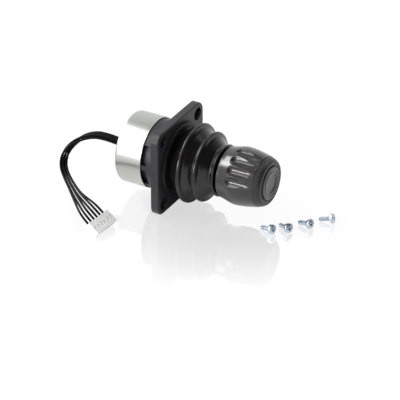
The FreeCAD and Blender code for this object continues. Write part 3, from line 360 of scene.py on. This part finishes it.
flange_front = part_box("flange_housing")[1].x
low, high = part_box("boot_retainer")
retainer_outer = high.z
retainer_inner = 0.0157
step_depth = 0.0004
foot_outer = 0.01735
foot_front = flange_front + 0.0008
retainer_profile = rounded(
    [(flange_front, foot_outer), (flange_front, retainer_outer), (high.x, retainer_outer),
     (high.x, retainer_inner + 0.0009), (high.x - step_depth, retainer_inner + 0.0006),
     (high.x - step_depth, retainer_inner), (foot_front, retainer_inner),
     (foot_front, foot_outer)],
    [0.0, 0.0, 0.0005, 0.0001, 0.0001, 0.0001, 0.0, 0.0])
retainer = skin("retainer_ring", turned(retainer_profile, columns=160), round_rows=True)
retainer_finish = Finish(
    "black_retainer", Base_Color=(0.009, 0.008, 0.009, 1.0), Specular_IOR_Level=0.28)
retainer_grain = retainer_finish.noise(3600.0, 3.0, 0.6)
retainer_finish.set("Roughness", 0.30 + retainer_grain * 0.18)
retainer_finish.relief(retainer_grain, 0.00003)
retainer_finish.on(retainer)
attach(retainer, "base")
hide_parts("boot_retainer")

# Boot: moulded black rubber with three ridges, thick and rounded at their rims, and deep
# valleys between them. It is made in two rings that meet just past the first ridge.
RIDGES = [
    # place along the lever, crest radius, half thickness of the rim, valley before it
    (0.01265, 0.01990, 0.00105, 0.0149),
    (0.02025, 0.01745, 0.00100, 0.0139),
    (0.02790, 0.01300, 0.00080, 0.0109),
]
RIM = [
    # place from the ridge's middle in half thicknesses, and in metres past that, how far
    # below the crest, and how much the corner is rounded
    (-1.0, -0.0002, 0.0015, 0.0003),
    (-1.0, 0.0, 0.0007, 0.0004),
    (-0.55, 0.0, 0.0, 0.0005),
    (0.55, 0.0, 0.0, 0.0005),
    (1.0, 0.0, 0.0007, 0.0005),
    (1.0, 0.0002, 0.0020, 0.0011),
]
VALLEY_SHARE = 0.7
VALLEY_ROUNDING = 0.0009
BOOT_WALL = 0.0008
BOOT_COLUMNS = 200
BOOT_STEPS = 900
boot_top = 0.0294
boot_top_radius = 0.0096
collar_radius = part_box("boot_collar")[1].z
CLEAR = 0.00005
COLLAR_CLEAR = 0.00003


def boot_profile():
    """Outside of the boot from foot to top: foot, then valley and ridge by turns.

    Each valley lies at the valley share of the way from one ridge to the next.
    """
    corners = [(flange_front, foot_outer - CLEAR), (foot_front, foot_outer - CLEAR),
               (foot_front, RIDGES[0][3])]
    radii = [0.0, 0.0002, 0.0003]
    last = None
    for where, crest, half, valley in RIDGES:
        if last is not None:
            corners.append((last * (1 - VALLEY_SHARE) + where * VALLEY_SHARE, valley))
            radii.append(VALLEY_ROUNDING)
        for share, past, drop, rounding in RIM:
            corners.append((where + half * share + past, crest - drop))
            radii.append(rounding)
        last = where
    top = boot_top - 2 * CLEAR
    corners += [(top, boot_top_radius), (top, collar_radius + CLEAR)]
    radii += [0.0, 0.0]
    return corners, radii


def boot_ring(name, first, last):
    """A ring of the boot between two places along it, with its wall turned inwards.

    The inside is the outside moved in by the wall: x is kept, and the radius is the
    least outside radius within a wall's thickness along the lever, less the wall.
    """
    corners, radii = boot_profile()
    corners = [(0.0, 0.0)] + corners + [(0.0, 0.0)]
    outside = rounded(corners, [0.0] + radii + [0.0], steps=7)[1:-1]
    t = np.concatenate([[0.0], np.cumsum(np.linalg.norm(np.diff(outside, axis=0), axis=1))])
    fine = np.linspace(0.0, t[-1], BOOT_STEPS)
    outside = np.stack([np.interp(fine, t, outside[:, k]) for k in range(2)], axis=1)
    outside = outside[(outside[:, 0] >= first) & (outside[:, 0] <= last)]
    gap = np.abs(outside[:, None, 0] - outside[None, :, 0]) < BOOT_WALL
    inner = np.where(gap, outside[None, :, 1], 1.0).min(axis=1) - BOOT_WALL
    inner = np.maximum(inner, collar_radius + COLLAR_CLEAR if last == boot_top else 0.0)
    inside = np.stack([outside[:, 0], inner], axis=1)[::-1]
    every_third = slice(None, None, 3)
    profile = np.concatenate([outside[every_third], inside[every_third]])
    return skin(name, turned(profile, BOOT_COLUMNS), round_rows=True)


SEAM_OVERLAP = 0.00001
boot_split = RIDGES[0][0] + 0.0016
boot_rear = boot_ring("boot_rear", flange_front, boot_split + SEAM_OVERLAP)
boot_front = boot_ring("boot_front", boot_split - SEAM_OVERLAP, boot_top)
rubber = Finish("boot_rubber", Specular_IOR_Level=0.5)
bloom = rubber.noise(140.0, 3.0, 0.55)
skin_grain = rubber.noise(4200.0, 2.0, 0.5)
rubber.set("Base Color", rubber.tint(bloom, (0.004, 0.0033, 0.0035), (0.010, 0.0085, 0.009)))
rubber.set("Roughness", 0.15 + bloom * 0.12)
rubber.relief(skin_grain, 0.00002)
rubber.on(boot_rear, boot_front, "cable_grommet")
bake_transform(boot_rear)
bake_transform(boot_front)
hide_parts("bellows_boot")
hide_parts("bellows_boot")

# Can: drawn from bright sheet and left with the fine rings of the drawing and brushing.
# Its rear shoulder is rolled over, and its front edge is trimmed square round the neck.
low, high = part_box("can_shield")
CAN_SHEET = 0.0006
can_radius = high.z
shoulder = 0.0017
grommet_hole = 0.0036
can_profile = rounded(
    [(high.x, can_radius - CAN_SHEET), (high.x, can_radius), (low.x, can_radius),
     (low.x, grommet_hole), (low.x + CAN_SHEET, grommet_hole),
     (low.x + CAN_SHEET, can_radius - CAN_SHEET)],
    [0.0, 0.0002, shoulder, 0.0, 0.0, shoulder - CAN_SHEET], steps=10)
can = skin("can_shell", turned(can_profile, columns=220), round_rows=True)
bright_can = Finish("brushed_can", Metallic=1.0)
rings = bright_can.noise(1.0, 3.0, 0.6, (9000.0, 30.0, 30.0))
clouds = bright_can.noise(70.0, 3.0, 0.6)
bright_can.set("Base Color", bright_can.tint(clouds, (0.45, 0.467, 0.437), (0.54, 0.553, 0.527)))
bright_can.set("Roughness", 0.22 + rings * 0.08 + clouds * 0.08)
bright_can.relief(rings, 0.000003)
bright_can.on(can)
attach(can, "base")
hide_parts("can_shield")

# Grip: the knob's shell, moulded in glossy dark grey plastic. A smooth collar flares out to
# a barrel with two opposite groups of four finger flutes that run out towards the front.
low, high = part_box("grip_shell")
grip_rear, grip_front = low.x, high.x
COLLAR = 0.01275
BARREL = 0.0144
FRONT_RADIUS = 0.0126
BORE = 0.0104
BUSH = 0.0044
FLOOR = 0.0023
FLUTE_RADIUS = 0.0030
FLUTE_DEPTH = 0.0015
FLUTE_REAR = 0.0350
FLUTE_ANGLES = np.radians([10.0, 32.0, 54.0, 76.0, 190.0, 212.0, 234.0, 256.0])
FLARE_REAR = 0.0300
FLARE_LENGTH = 0.0078
SWELL_REAR = 0.0385
SWELL_POWER = 1.7
REAR_EDGE = 0.0004
FRONT_EDGE = 0.0002
RIDGE_BLEND = 0.0006
GRIP_COLUMNS = 640
GRIP_ROWS = 140


def barrel_radius(x):
    """Outer radius along the knob: collar, long flare, then a low swell to the front.

    The flare is the mean of a straight cone and a smoothstep from collar to barrel, and
    the swell a power curve that falls to the front.
    """
    rise = np.clip((x - FLARE_REAR) / FLARE_LENGTH, 0.0, 1.0)
    rise = (rise + rise * rise * (3 - 2 * rise)) / 2
    fall = np.clip((x - SWELL_REAR) / (grip_front - SWELL_REAR), 0.0, 1.0)
    return COLLAR + (BARREL - COLLAR) * rise - (BARREL - FRONT_RADIUS) * fall ** SWELL_POWER


def flute_floor(x, angle):
    """Radius left by the round-nosed cutters at x and angle, by circles round each centre.

    A cutter of radius c(x) with its axis at radius a leaves a cos d - sqrt(c2 - a2 sin2 d)
    at the angle d from it, and c(x) falls to nothing over the nose as a circle does.
    """
    axis = BARREL + FLUTE_RADIUS - FLUTE_DEPTH
    nose = np.clip((FLUTE_REAR + FLUTE_RADIUS - x) / FLUTE_RADIUS, 0.0, 1.0)
    cutter = FLUTE_RADIUS * np.sqrt(1.0 - nose ** 2)
    off = angle[..., None] - FLUTE_ANGLES
    inside = cutter[..., None] ** 2 - (axis * np.sin(off)) ** 2
    floor = axis * np.cos(off) - np.sqrt(np.maximum(inside, 0.0))
    floor = np.where((inside > 0) & (np.cos(off) > 0), floor, 1.0)
    return floor.min(axis=-1)


def grip_grid():
    """Grip points: outside with its flutes, front lip, bore, floor and back along the rear.

    Outside, the radius is the soft least of barrel and flutes: where the two differ by
    less than the ridge blend, a parabola rounds the ridge between them.
    """
    angle = np.linspace(0.0, 2 * math.pi, GRIP_COLUMNS, endpoint=False)
    along = np.linspace(grip_rear + REAR_EDGE, grip_front - FRONT_EDGE, GRIP_ROWS)
    x, turn = np.meshgrid(along, angle, indexing="ij")
    outer = barrel_radius(x)
    floor = flute_floor(x, turn)
    near = np.maximum(RIDGE_BLEND - np.abs(outer - floor), 0.0) / RIDGE_BLEND
    radius = np.minimum(outer, floor) - near ** 2 * RIDGE_BLEND / 4
    side = around(x, radius, turn)
    rest = [(grip_front, FRONT_RADIUS - FRONT_EDGE), (grip_front, BORE),
            (grip_rear + FLOOR, BORE), (grip_rear + FLOOR, BUSH), (grip_rear, BUSH),
            (grip_rear, COLLAR - REAR_EDGE)]
    return np.concatenate([side, turned(np.array(rest), GRIP_COLUMNS)])


grip = skin("grip", grip_grid(), round_rows=True)
glossy_grip = Finish("grip_plastic", Coat_Weight=0.4, Coat_Roughness=0.08)
flow = glossy_grip.noise(90.0, 3.0, 0.6, (0.35, 1.0, 1.0))
fine = glossy_grip.noise(2600.0, 2.0, 0.5)
grip_colour = glossy_grip.tint(flow, (0.008, 0.0065, 0.007), (0.018, 0.0155, 0.0165))
glossy_grip.set("Base Color", grip_colour)
glossy_grip.set("Roughness", 0.16 + flow * 0.12)
glossy_grip.relief(fine, 0.000015)
glossy_grip.on(grip)
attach(grip, "knob")
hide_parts("grip_shell")

# Front bezel: a satin black ring pressed into the grip, with a rounded front edge and a
# fine groove just before the well that the button moves in.
low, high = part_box("front_bezel")
WELL = 0.00845
SPIGOT = 0.01035
bezel_profile = rounded(
    [(low.x, 0.0091), (low.x, SPIGOT), (grip_front, SPIGOT), (grip_front, 0.01245),
     (grip_front + 0.0018, 0.0119), (high.x, 0.0109), (high.x, 0.0096),
     (high.x - 0.0002, 0.0094), (high.x - 0.0002, 0.0090), (high.x - 0.0005, WELL),
     (grip_front + 0.0006, WELL), (grip_front + 0.0006, 0.0091)],
    [0.0, 0.0, 0.0, 0.0002, 0.0005, 0.0006, 0.0001, 0.0001, 0.0001, 0.0001, 0.0, 0.0])
bezel = skin("bezel_ring", turned(bezel_profile, columns=200), round_rows=True)
satin = Finish("bezel_plastic", Base_Color=(0.016, 0.015, 0.018, 1.0))
satin_grain = satin.noise(3800.0, 2.0, 0.5)
satin.set("Roughness", 0.34 + satin_grain * 0.14)
satin.relief(satin_grain, 0.00002)
satin.on(bezel)
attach(bezel, "knob")
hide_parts("front_bezel")

# Button: a moulded cap in the grip's plastic, with two raised rings round a dished middle.
# It slides in the bezel's well, and a lip at its rear keeps it from falling out.
low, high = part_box("push_button")
button_face = high.x
CAP = 0.0083
LIP = 0.00895
cap_profile = rounded(
    [(low.x, 0.0), (low.x, 0.0011), (button_face - 0.00155, 0.0011),
     (button_face - 0.00155, 0.0072), (grip_front - 0.0001, 0.0072), (grip_front - 0.0001, LIP),
     (grip_front + 0.00055, LIP), (grip_front + 0.00055, CAP), (button_face - 0.0002, CAP),
     (button_face, CAP - 0.0006), (button_face, 0.0071), (button_face - 0.0003, 0.0068),
     (button_face - 0.0003, 0.0062), (button_face, 0.0059), (button_face, 0.0054),
     (button_face - 0.0005, 0.0047), (button_face - 0.0006, 0.0016), (button_face - 0.0006, 0.0)],
    [0.0, 0.0, 0.0, 0.0, 0.0, 0.0, 0.0, 0.0, 0.0003, 0.0003, 0.0001, 0.0001, 0.0001, 0.0001,
     0.0002, 0.0003, 0.0008, 0.0])
cap = skin("button_cap", turned(cap_profile, columns=160))
cap_finish = Finish("button_plastic", Coat_Weight=0.2, Coat_Roughness=0.2)
turning = cap_finish.noise(110.0, 3.0, 0.6)
cap_colour = cap_finish.tint(turning, (0.030, 0.028, 0.030), (0.052, 0.049, 0.051))
cap_finish.set("Base Color", cap_colour)
cap_finish.set("Roughness", 0.26 + turning * 0.10)
cap_finish.relief(cap_finish.noise(3000.0), 0.000015)
cap_finish.on(cap)
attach(cap, "button")
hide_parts("push_button")

# Leads: six black PVC leads, soldered in the can and crimped into the plug. They leave the
# grommet in two rows of three, turn over, come down low and fan out to the plug.
ROUTE = [
    # middle of the bundle, step from lane to lane, step from layer to layer
    ((-0.0242, 0.0, 0.0), (0.0, 0.0007, 0.0), (0.0, 0.0, 0.00125)),
    ((-0.0304, 0.0, 0.0), (0.0, 0.0007, 0.0), (0.0, 0.0, 0.00125)),
    ((-0.0374, 0.0003, 0.0005), (-0.00005, 0.00072, 0.0), (-0.0001, 0.0, 0.00132)),
    ((-0.0444, 0.0001, 0.0002), (-0.00014, 0.00072, 0.0), (-0.00028, -0.00006, 0.00131)),
    ((-0.0508, -0.0018, -0.0023), (-0.00022, 0.00066, -0.00016), (-0.00065, 0.00005, 0.00112)),
    ((-0.0554, -0.005, -0.0062), (0.00005, 0.00057, -0.00048), (-0.0011, 0.0005, 0.00048)),
    ((-0.0572, -0.0086, -0.0108), (0.00046, 0.00043, -0.00039), (-0.00101, 0.0007, -0.00042)),
    ((-0.0557, -0.0123, -0.0149), (0.0005, 0.00048, -0.00012), (-0.00071, 0.00049, -0.00097)),
    ((-0.0512, -0.0164, -0.0173), (0.0005, 0.00052, 0.0), (-0.00032, 0.00027, -0.00121)),
    ((-0.0446, -0.0227, -0.0173), (0.0005, 0.00064, 0.0), (0.00005, -0.00005, -0.00122)),
    ((-0.0367, -0.0314, -0.0152), (0.00046, 0.00096, 0.0), (0.00005, -0.00005, -0.001)),
    ((-0.0281, -0.0401, -0.0128), (0.00034, 0.00162, 0.0), (0.00005, 0.0, -0.00035)),
    ((-0.02119, -0.04538, -0.01292), (0.000179, 0.002494, 0.0), (0.0, 0.0, 0.0)),
    ((-0.01687, -0.04569, -0.016304), (0.000179, 0.002494, 0.0), (0.0, 0.0, 0.0)),
]
LEAD_LENGTHS = [0.1020, 0.1034, 0.0985, 0.1002, 0.0955, 0.0974]
LEAD_DIAMETER = 0.00112


def lead_route(number):
    """Corner points of one lead: bundle middle, plus its lane's and its layer's steps."""
    middle, across, over = np.array(ROUTE).transpose(1, 0, 2)
    lane = number - (len(LEAD_LENGTHS) - 1) / 2
    layer = 0.5 if number % 2 else -0.5
    return middle + across * lane + over * layer


def lead_curve(name, points):
    """A round cord along a smooth spline that has the route's points as its controls."""
    curve = bpy.data.curves.new(name, "CURVE")
    curve.dimensions = "3D"
    spline = curve.splines.new("NURBS")
    spline.points.add(len(points) - 1)
    for control, place in zip(spline.points, points):
        control.co = (*place, 1.0)
    spline.order_u = 3
    spline.use_endpoint_u = True
    spline.resolution_u = 8
    curve.bevel_depth = LEAD_DIAMETER / 2
    curve.bevel_resolution = 5
    curve.use_fill_caps = True
    piece = bpy.data.objects.new(name, curve)
    scene.collection.objects.link(piece)
    return piece


jacket = Finish("lead_jacket", Specular_IOR_Level=0.05)
scuff = jacket.noise(900.0, 3.0, 0.6)
jacket.set("Base Color", jacket.tint(scuff, (0.0015, 0.0015, 0.002), (0.005, 0.005, 0.0055)))
jacket.set("Roughness", 0.30 + scuff * 0.15)
jacket.relief(scuff, 0.00002)
jacket.on("lead_tails")
for number, length in enumerate(LEAD_LENGTHS):
    route = lead_route(number)
    lead = lead_curve("lead_%d_jacket" % (number + 1), route)
    jacket.on(lead)
    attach(lead, "base")
    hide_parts("lead_%d" % (number + 1))

# Plug: white nylon housing with a window over each contact's latch, and box contacts of
# tinned strip inside it. The leads hold it up on the lower edge of its nose.
white_nylon = Finish("white_nylon")
milky = white_nylon.noise(300.0, 3.0, 0.6)
white_nylon.set("Base Color", white_nylon.tint(milky, (0.93, 0.93, 0.92), (0.97, 0.97, 0.965)))
white_nylon.set("Roughness", 0.36 + milky * 0.14)
white_nylon.relief(white_nylon.noise(3000.0), 0.00002)
white_nylon.on("plug_housing")
tinned = Finish("tinned_contact", Metallic=1.0)
tin = tinned.noise(2500.0, 2.0, 0.5)
tinned.set("Base Color", tinned.tint(tin, (0.62, 0.58, 0.48), (0.78, 0.75, 0.68)))
tinned.set("Roughness", 0.25 + tin * 0.2)
tinned.on("plug_contacts")

# Loose screws: cold-headed pan screws with a cross recess, rolled thread and a bluish zinc
# finish. Each lies on the rim of its head and on its tip.
SCREWS = [
    # middle of the head's underside: x, y, and the way the shank points, in degrees
    (0.0580, -0.0082, 170.0),
    (0.0643, -0.0030, 158.0),
    (0.0715, 0.0052, 172.0),
    (0.0786, 0.0148, 197.0),
]
SHANK = 0.0012
SHANK_LENGTH = 0.0060
HEAD = 0.00245
HEAD_RISE = 0.0019
PITCH = 0.00055
CORE_SHARE = 0.80
THREAD_SHARE = 0.20
THREAD_POWER = 1.6
TIP_TAPER = 0.0007
TIP_SHARE = 0.75
FACE_SHARE = 0.86
FACE_DOME = 0.00028
HEAD_EDGE = [
    # share of the head's radius, and x from its underside
    (0.95, -0.00150), (0.99, -0.00130), (1.0, -0.00100), (1.0, -0.00012), (0.985, 0.0),
]
CROSS = 0.0015
CROSS_DEPTH = 0.00095
CROSS_HALF = 0.00040
CROSS_WALL = 0.00010
CROSS_END = 0.00012
CROSS_SLOPE = 1.15
CROSS_POWER = 0.4
SCREW_SIDES = 48
FACE_RINGS = 22
SHANK_RINGS = 132


def screw_grid():
    """One screw about its own x axis, from the middle of the head to the tip.

    The radius on the shank is that of the core plus a rounded ridge that turns once a
    pitch, and fades out at the tip. In the head's face the two slots of the cross sink x
    by a smooth wall at half a slot's width from either arm, least at the slots' ends.
    """
    angle = np.linspace(0.0, 2 * math.pi, SCREW_SIDES, endpoint=False)
    face = np.linspace(0.0, 1.0, FACE_RINGS)
    edge_share, edge_x = np.array(HEAD_EDGE).T
    radius = np.concatenate([face * HEAD * FACE_SHARE, HEAD * edge_share])
    crown = np.concatenate([-HEAD_RISE + FACE_DOME * face ** 2, edge_x])
    r, turn = np.meshgrid(radius, angle, indexing="ij")
    x = np.repeat(crown[:, None], angle.size, axis=1)
    y, z = r * np.sin(turn), r * np.cos(turn)
    reach = np.clip((CROSS - r) / CROSS_END, 0.0, 1.0)
    off_arm = np.minimum(np.abs(y), np.abs(z))
    arm = np.clip((CROSS_HALF - off_arm) / CROSS_WALL + 0.5, 0.0, 1.0)
    sunk = np.clip(CROSS_SLOPE - r / CROSS, 0.0, 1.0) ** CROSS_POWER
    x = x + CROSS_DEPTH * reach * arm * sunk
    head = np.stack([x, y, z], axis=-1)
    along = np.linspace(0.0, SHANK_LENGTH, SHANK_RINGS)
    s, turn = np.meshgrid(along, angle, indexing="ij")
    wave = 0.5 + 0.5 * np.cos(2 * math.pi * s / PITCH - turn)
    taper = np.clip((SHANK_LENGTH - s) / TIP_TAPER, 0.0, 1.0)
    shank_r = SHANK * CORE_SHARE * (TIP_SHARE + (1 - TIP_SHARE) * taper)
    shank_r = shank_r + SHANK * THREAD_SHARE * wave ** THREAD_POWER * taper
    shank = np.stack([s, shank_r * np.sin(turn), shank_r * np.cos(turn)], axis=-1)
    tip = np.repeat([[[SHANK_LENGTH, 0.0, 0.0]]], angle.size, axis=1)
    return np.concatenate([head, shank, tip])


def laid(grid, x, y, heading):
    """The grid leaned so that head rim and tip touch the table, turned and moved there."""
    lean = math.atan2(HEAD - SHANK, SHANK_LENGTH)
    turn = math.radians(heading)
    tilt = np.array([[math.cos(lean), 0, math.sin(lean)], [0, 1, 0],
                     [-math.sin(lean), 0, math.cos(lean)]])
    swing = np.array([[math.cos(turn), -math.sin(turn), 0], [math.sin(turn), math.cos(turn), 0],
                      [0, 0, 1]])
    return grid @ (swing @ tilt).T + np.array([x, y, flange_foot + HEAD * math.cos(lean)])


zinc = Finish("blue_zinc", Metallic=1.0)
mottle = zinc.noise(700.0, 3.0, 0.6)
zinc.set("Base Color", zinc.tint(mottle, (0.42, 0.49, 0.56), (0.70, 0.76, 0.82)))
zinc.set("Roughness", 0.22 + mottle * 0.18)
zinc.relief(mottle, 0.00001)
for number, where in enumerate(SCREWS, start=1):
    screw = skin("loose_screw_%d" % number, laid(screw_grid(), *where))
    zinc.on(screw)
    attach(screw, "base")
    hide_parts("mounting_screws")

# Lever, pins, spring seat, retaining rings, board screws and twist spring: bright turned or
# drawn steel with faint marks of the tool round them.
steel = Finish("turned_steel", Metallic=1.0)
marks = steel.noise(1.0, 2.0, 0.5, (7000.0, 200.0, 200.0))
steel.set("Base Color", steel.tint(marks, (0.50, 0.50, 0.51), (0.68, 0.68, 0.69)))
steel.set("Roughness", 0.22 + marks * 0.2)
steel.relief(marks, 0.00001)
steel.on("lever_shaft", "outer_pivot_pins", "inner_pivot_pin", "spring_seat", "board_screws",
         "retaining_rings", "twist_spring")

# Centring spring: a coil of round wire from its seat on the flange to the cap on the lever.
# It is in two lengths that meet at the boot's seam.
low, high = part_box("centering_spring")
WIRE_RADIUS = 0.0006
COIL_TURNS = 4.0
COIL_STEPS = 180
WIRE_SIDES = 14
coil_radius = high.z - WIRE_RADIUS


def coil(name, first, last):
    """A round wire along a helix between two places on the lever, with flat ends.

    At the share t of its length the wire's centre is at x = rear + t (front - rear) and
    turned by 2 pi t times the turns, and its section is a circle in the radial plane.
    """
    rear, front = low.x + WIRE_RADIUS, high.x - WIRE_RADIUS
    share = np.linspace((max(first, rear) - rear) / (front - rear),
                        (min(last, front) - rear) / (front - rear), COIL_STEPS)
    share = np.concatenate([share[:1], share, share[-1:]])[:, None]
    wire = np.full_like(share, WIRE_RADIUS)
    wire[0] = wire[-1] = 0.0
    section = np.linspace(0.0, 2 * math.pi, WIRE_SIDES, endpoint=False)[None]
    turn = 2 * math.pi * COIL_TURNS * share
    radius = coil_radius + wire * np.cos(section)
    x = rear + (front - rear) * share + wire * np.sin(section)
    return skin(name, around(x, radius, turn))


coil_rear = coil("coil_rear", low.x, boot_split)
coil_front = coil("coil_front", boot_split, high.x)
steel.on(coil_rear, coil_front)
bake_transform(coil_rear)
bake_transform(coil_front)
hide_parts("centering_spring")
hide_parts("centering_spring")

# Gimbal ring, lever hub and standoffs: turned brass, dulled in patches. The ring tilts on
# two pins in the carrier, the hub on one pin in the ring, and the standoffs hold the boards.
brass = Finish("turned_brass", Metallic=1.0)
dull = brass.noise(350.0, 3.0, 0.6)
brass.set("Base Color", brass.tint(dull, (0.48, 0.34, 0.13), (0.75, 0.59, 0.30)))
brass.set("Roughness", 0.24 + dull * 0.2)
brass.on("gimbal_ring", "lever_hub", "board_standoffs")

# Spring cap, boot collar, knob bush, magnet holder and plunger: milky acetal, as moulded.
# The bush turns on the lever with the knob, the plunger is the switch's own, and the rest
# are fixed on the lever.
acetal = Finish("natural_acetal")
cloudy = acetal.noise(250.0, 3.0, 0.6)
acetal.set("Base Color", acetal.tint(cloudy, (0.66, 0.65, 0.60), (0.78, 0.77, 0.73)))
acetal.set("Roughness", 0.38 + cloudy * 0.15)
acetal.on("spring_cap", "boot_collar", "knob_bush", "magnet_holder", "switch_plunger")

# Magnets: sintered, with a bright nickel skin. One is held at the lever's rear end, over
# the four sensors, and one in the knob, next to the twist sensor.
nickel = Finish("nickel_skin", Metallic=1.0)
pores = nickel.noise(1500.0, 2.0, 0.5)
nickel.set("Base Color", nickel.tint(pores, (0.55, 0.55, 0.54), (0.72, 0.72, 0.71)))
nickel.set("Roughness", 0.14 + pores * 0.16)
nickel.on("sensor_magnet", "twist_magnet")

# Boards: glass-epoxy under green solder mask, with the weave showing through faintly. Two
# stand in the can on their standoffs, and a round one sits on the lever's front end.
mask = Finish("solder_mask", Coat_Weight=0.3, Coat_Roughness=0.1)
weave = mask.node(
    "ShaderNodeTexChecker", None, {"Vector": mask.place(), "Scale": 2400.0}, output=1)
copper = mask.noise(420.0, 1.0, 0.4) > 0.56
mask.set("Base Color", mask.tint(copper, (0.008, 0.085, 0.030), (0.020, 0.150, 0.060)))
mask.set("Roughness", 0.30 + weave * 0.08)
mask.on("sensor_board", "lead_board", "twist_board")

# Chips and the switch case: black moulding compound with a fine matt grain. Each is
# soldered flat on its board.
compound = Finish("chip_compound")
matt = compound.noise(6000.0, 2.0, 0.5)
compound.set("Base Color", compound.tint(matt, (0.016, 0.016, 0.017), (0.034, 0.034, 0.035)))
compound.set("Roughness", 0.55 + matt * 0.2)
compound.relief(matt, 0.00001)
compound.on("hall_sensors", "output_chips", "twist_sensor", "tactile_switch")
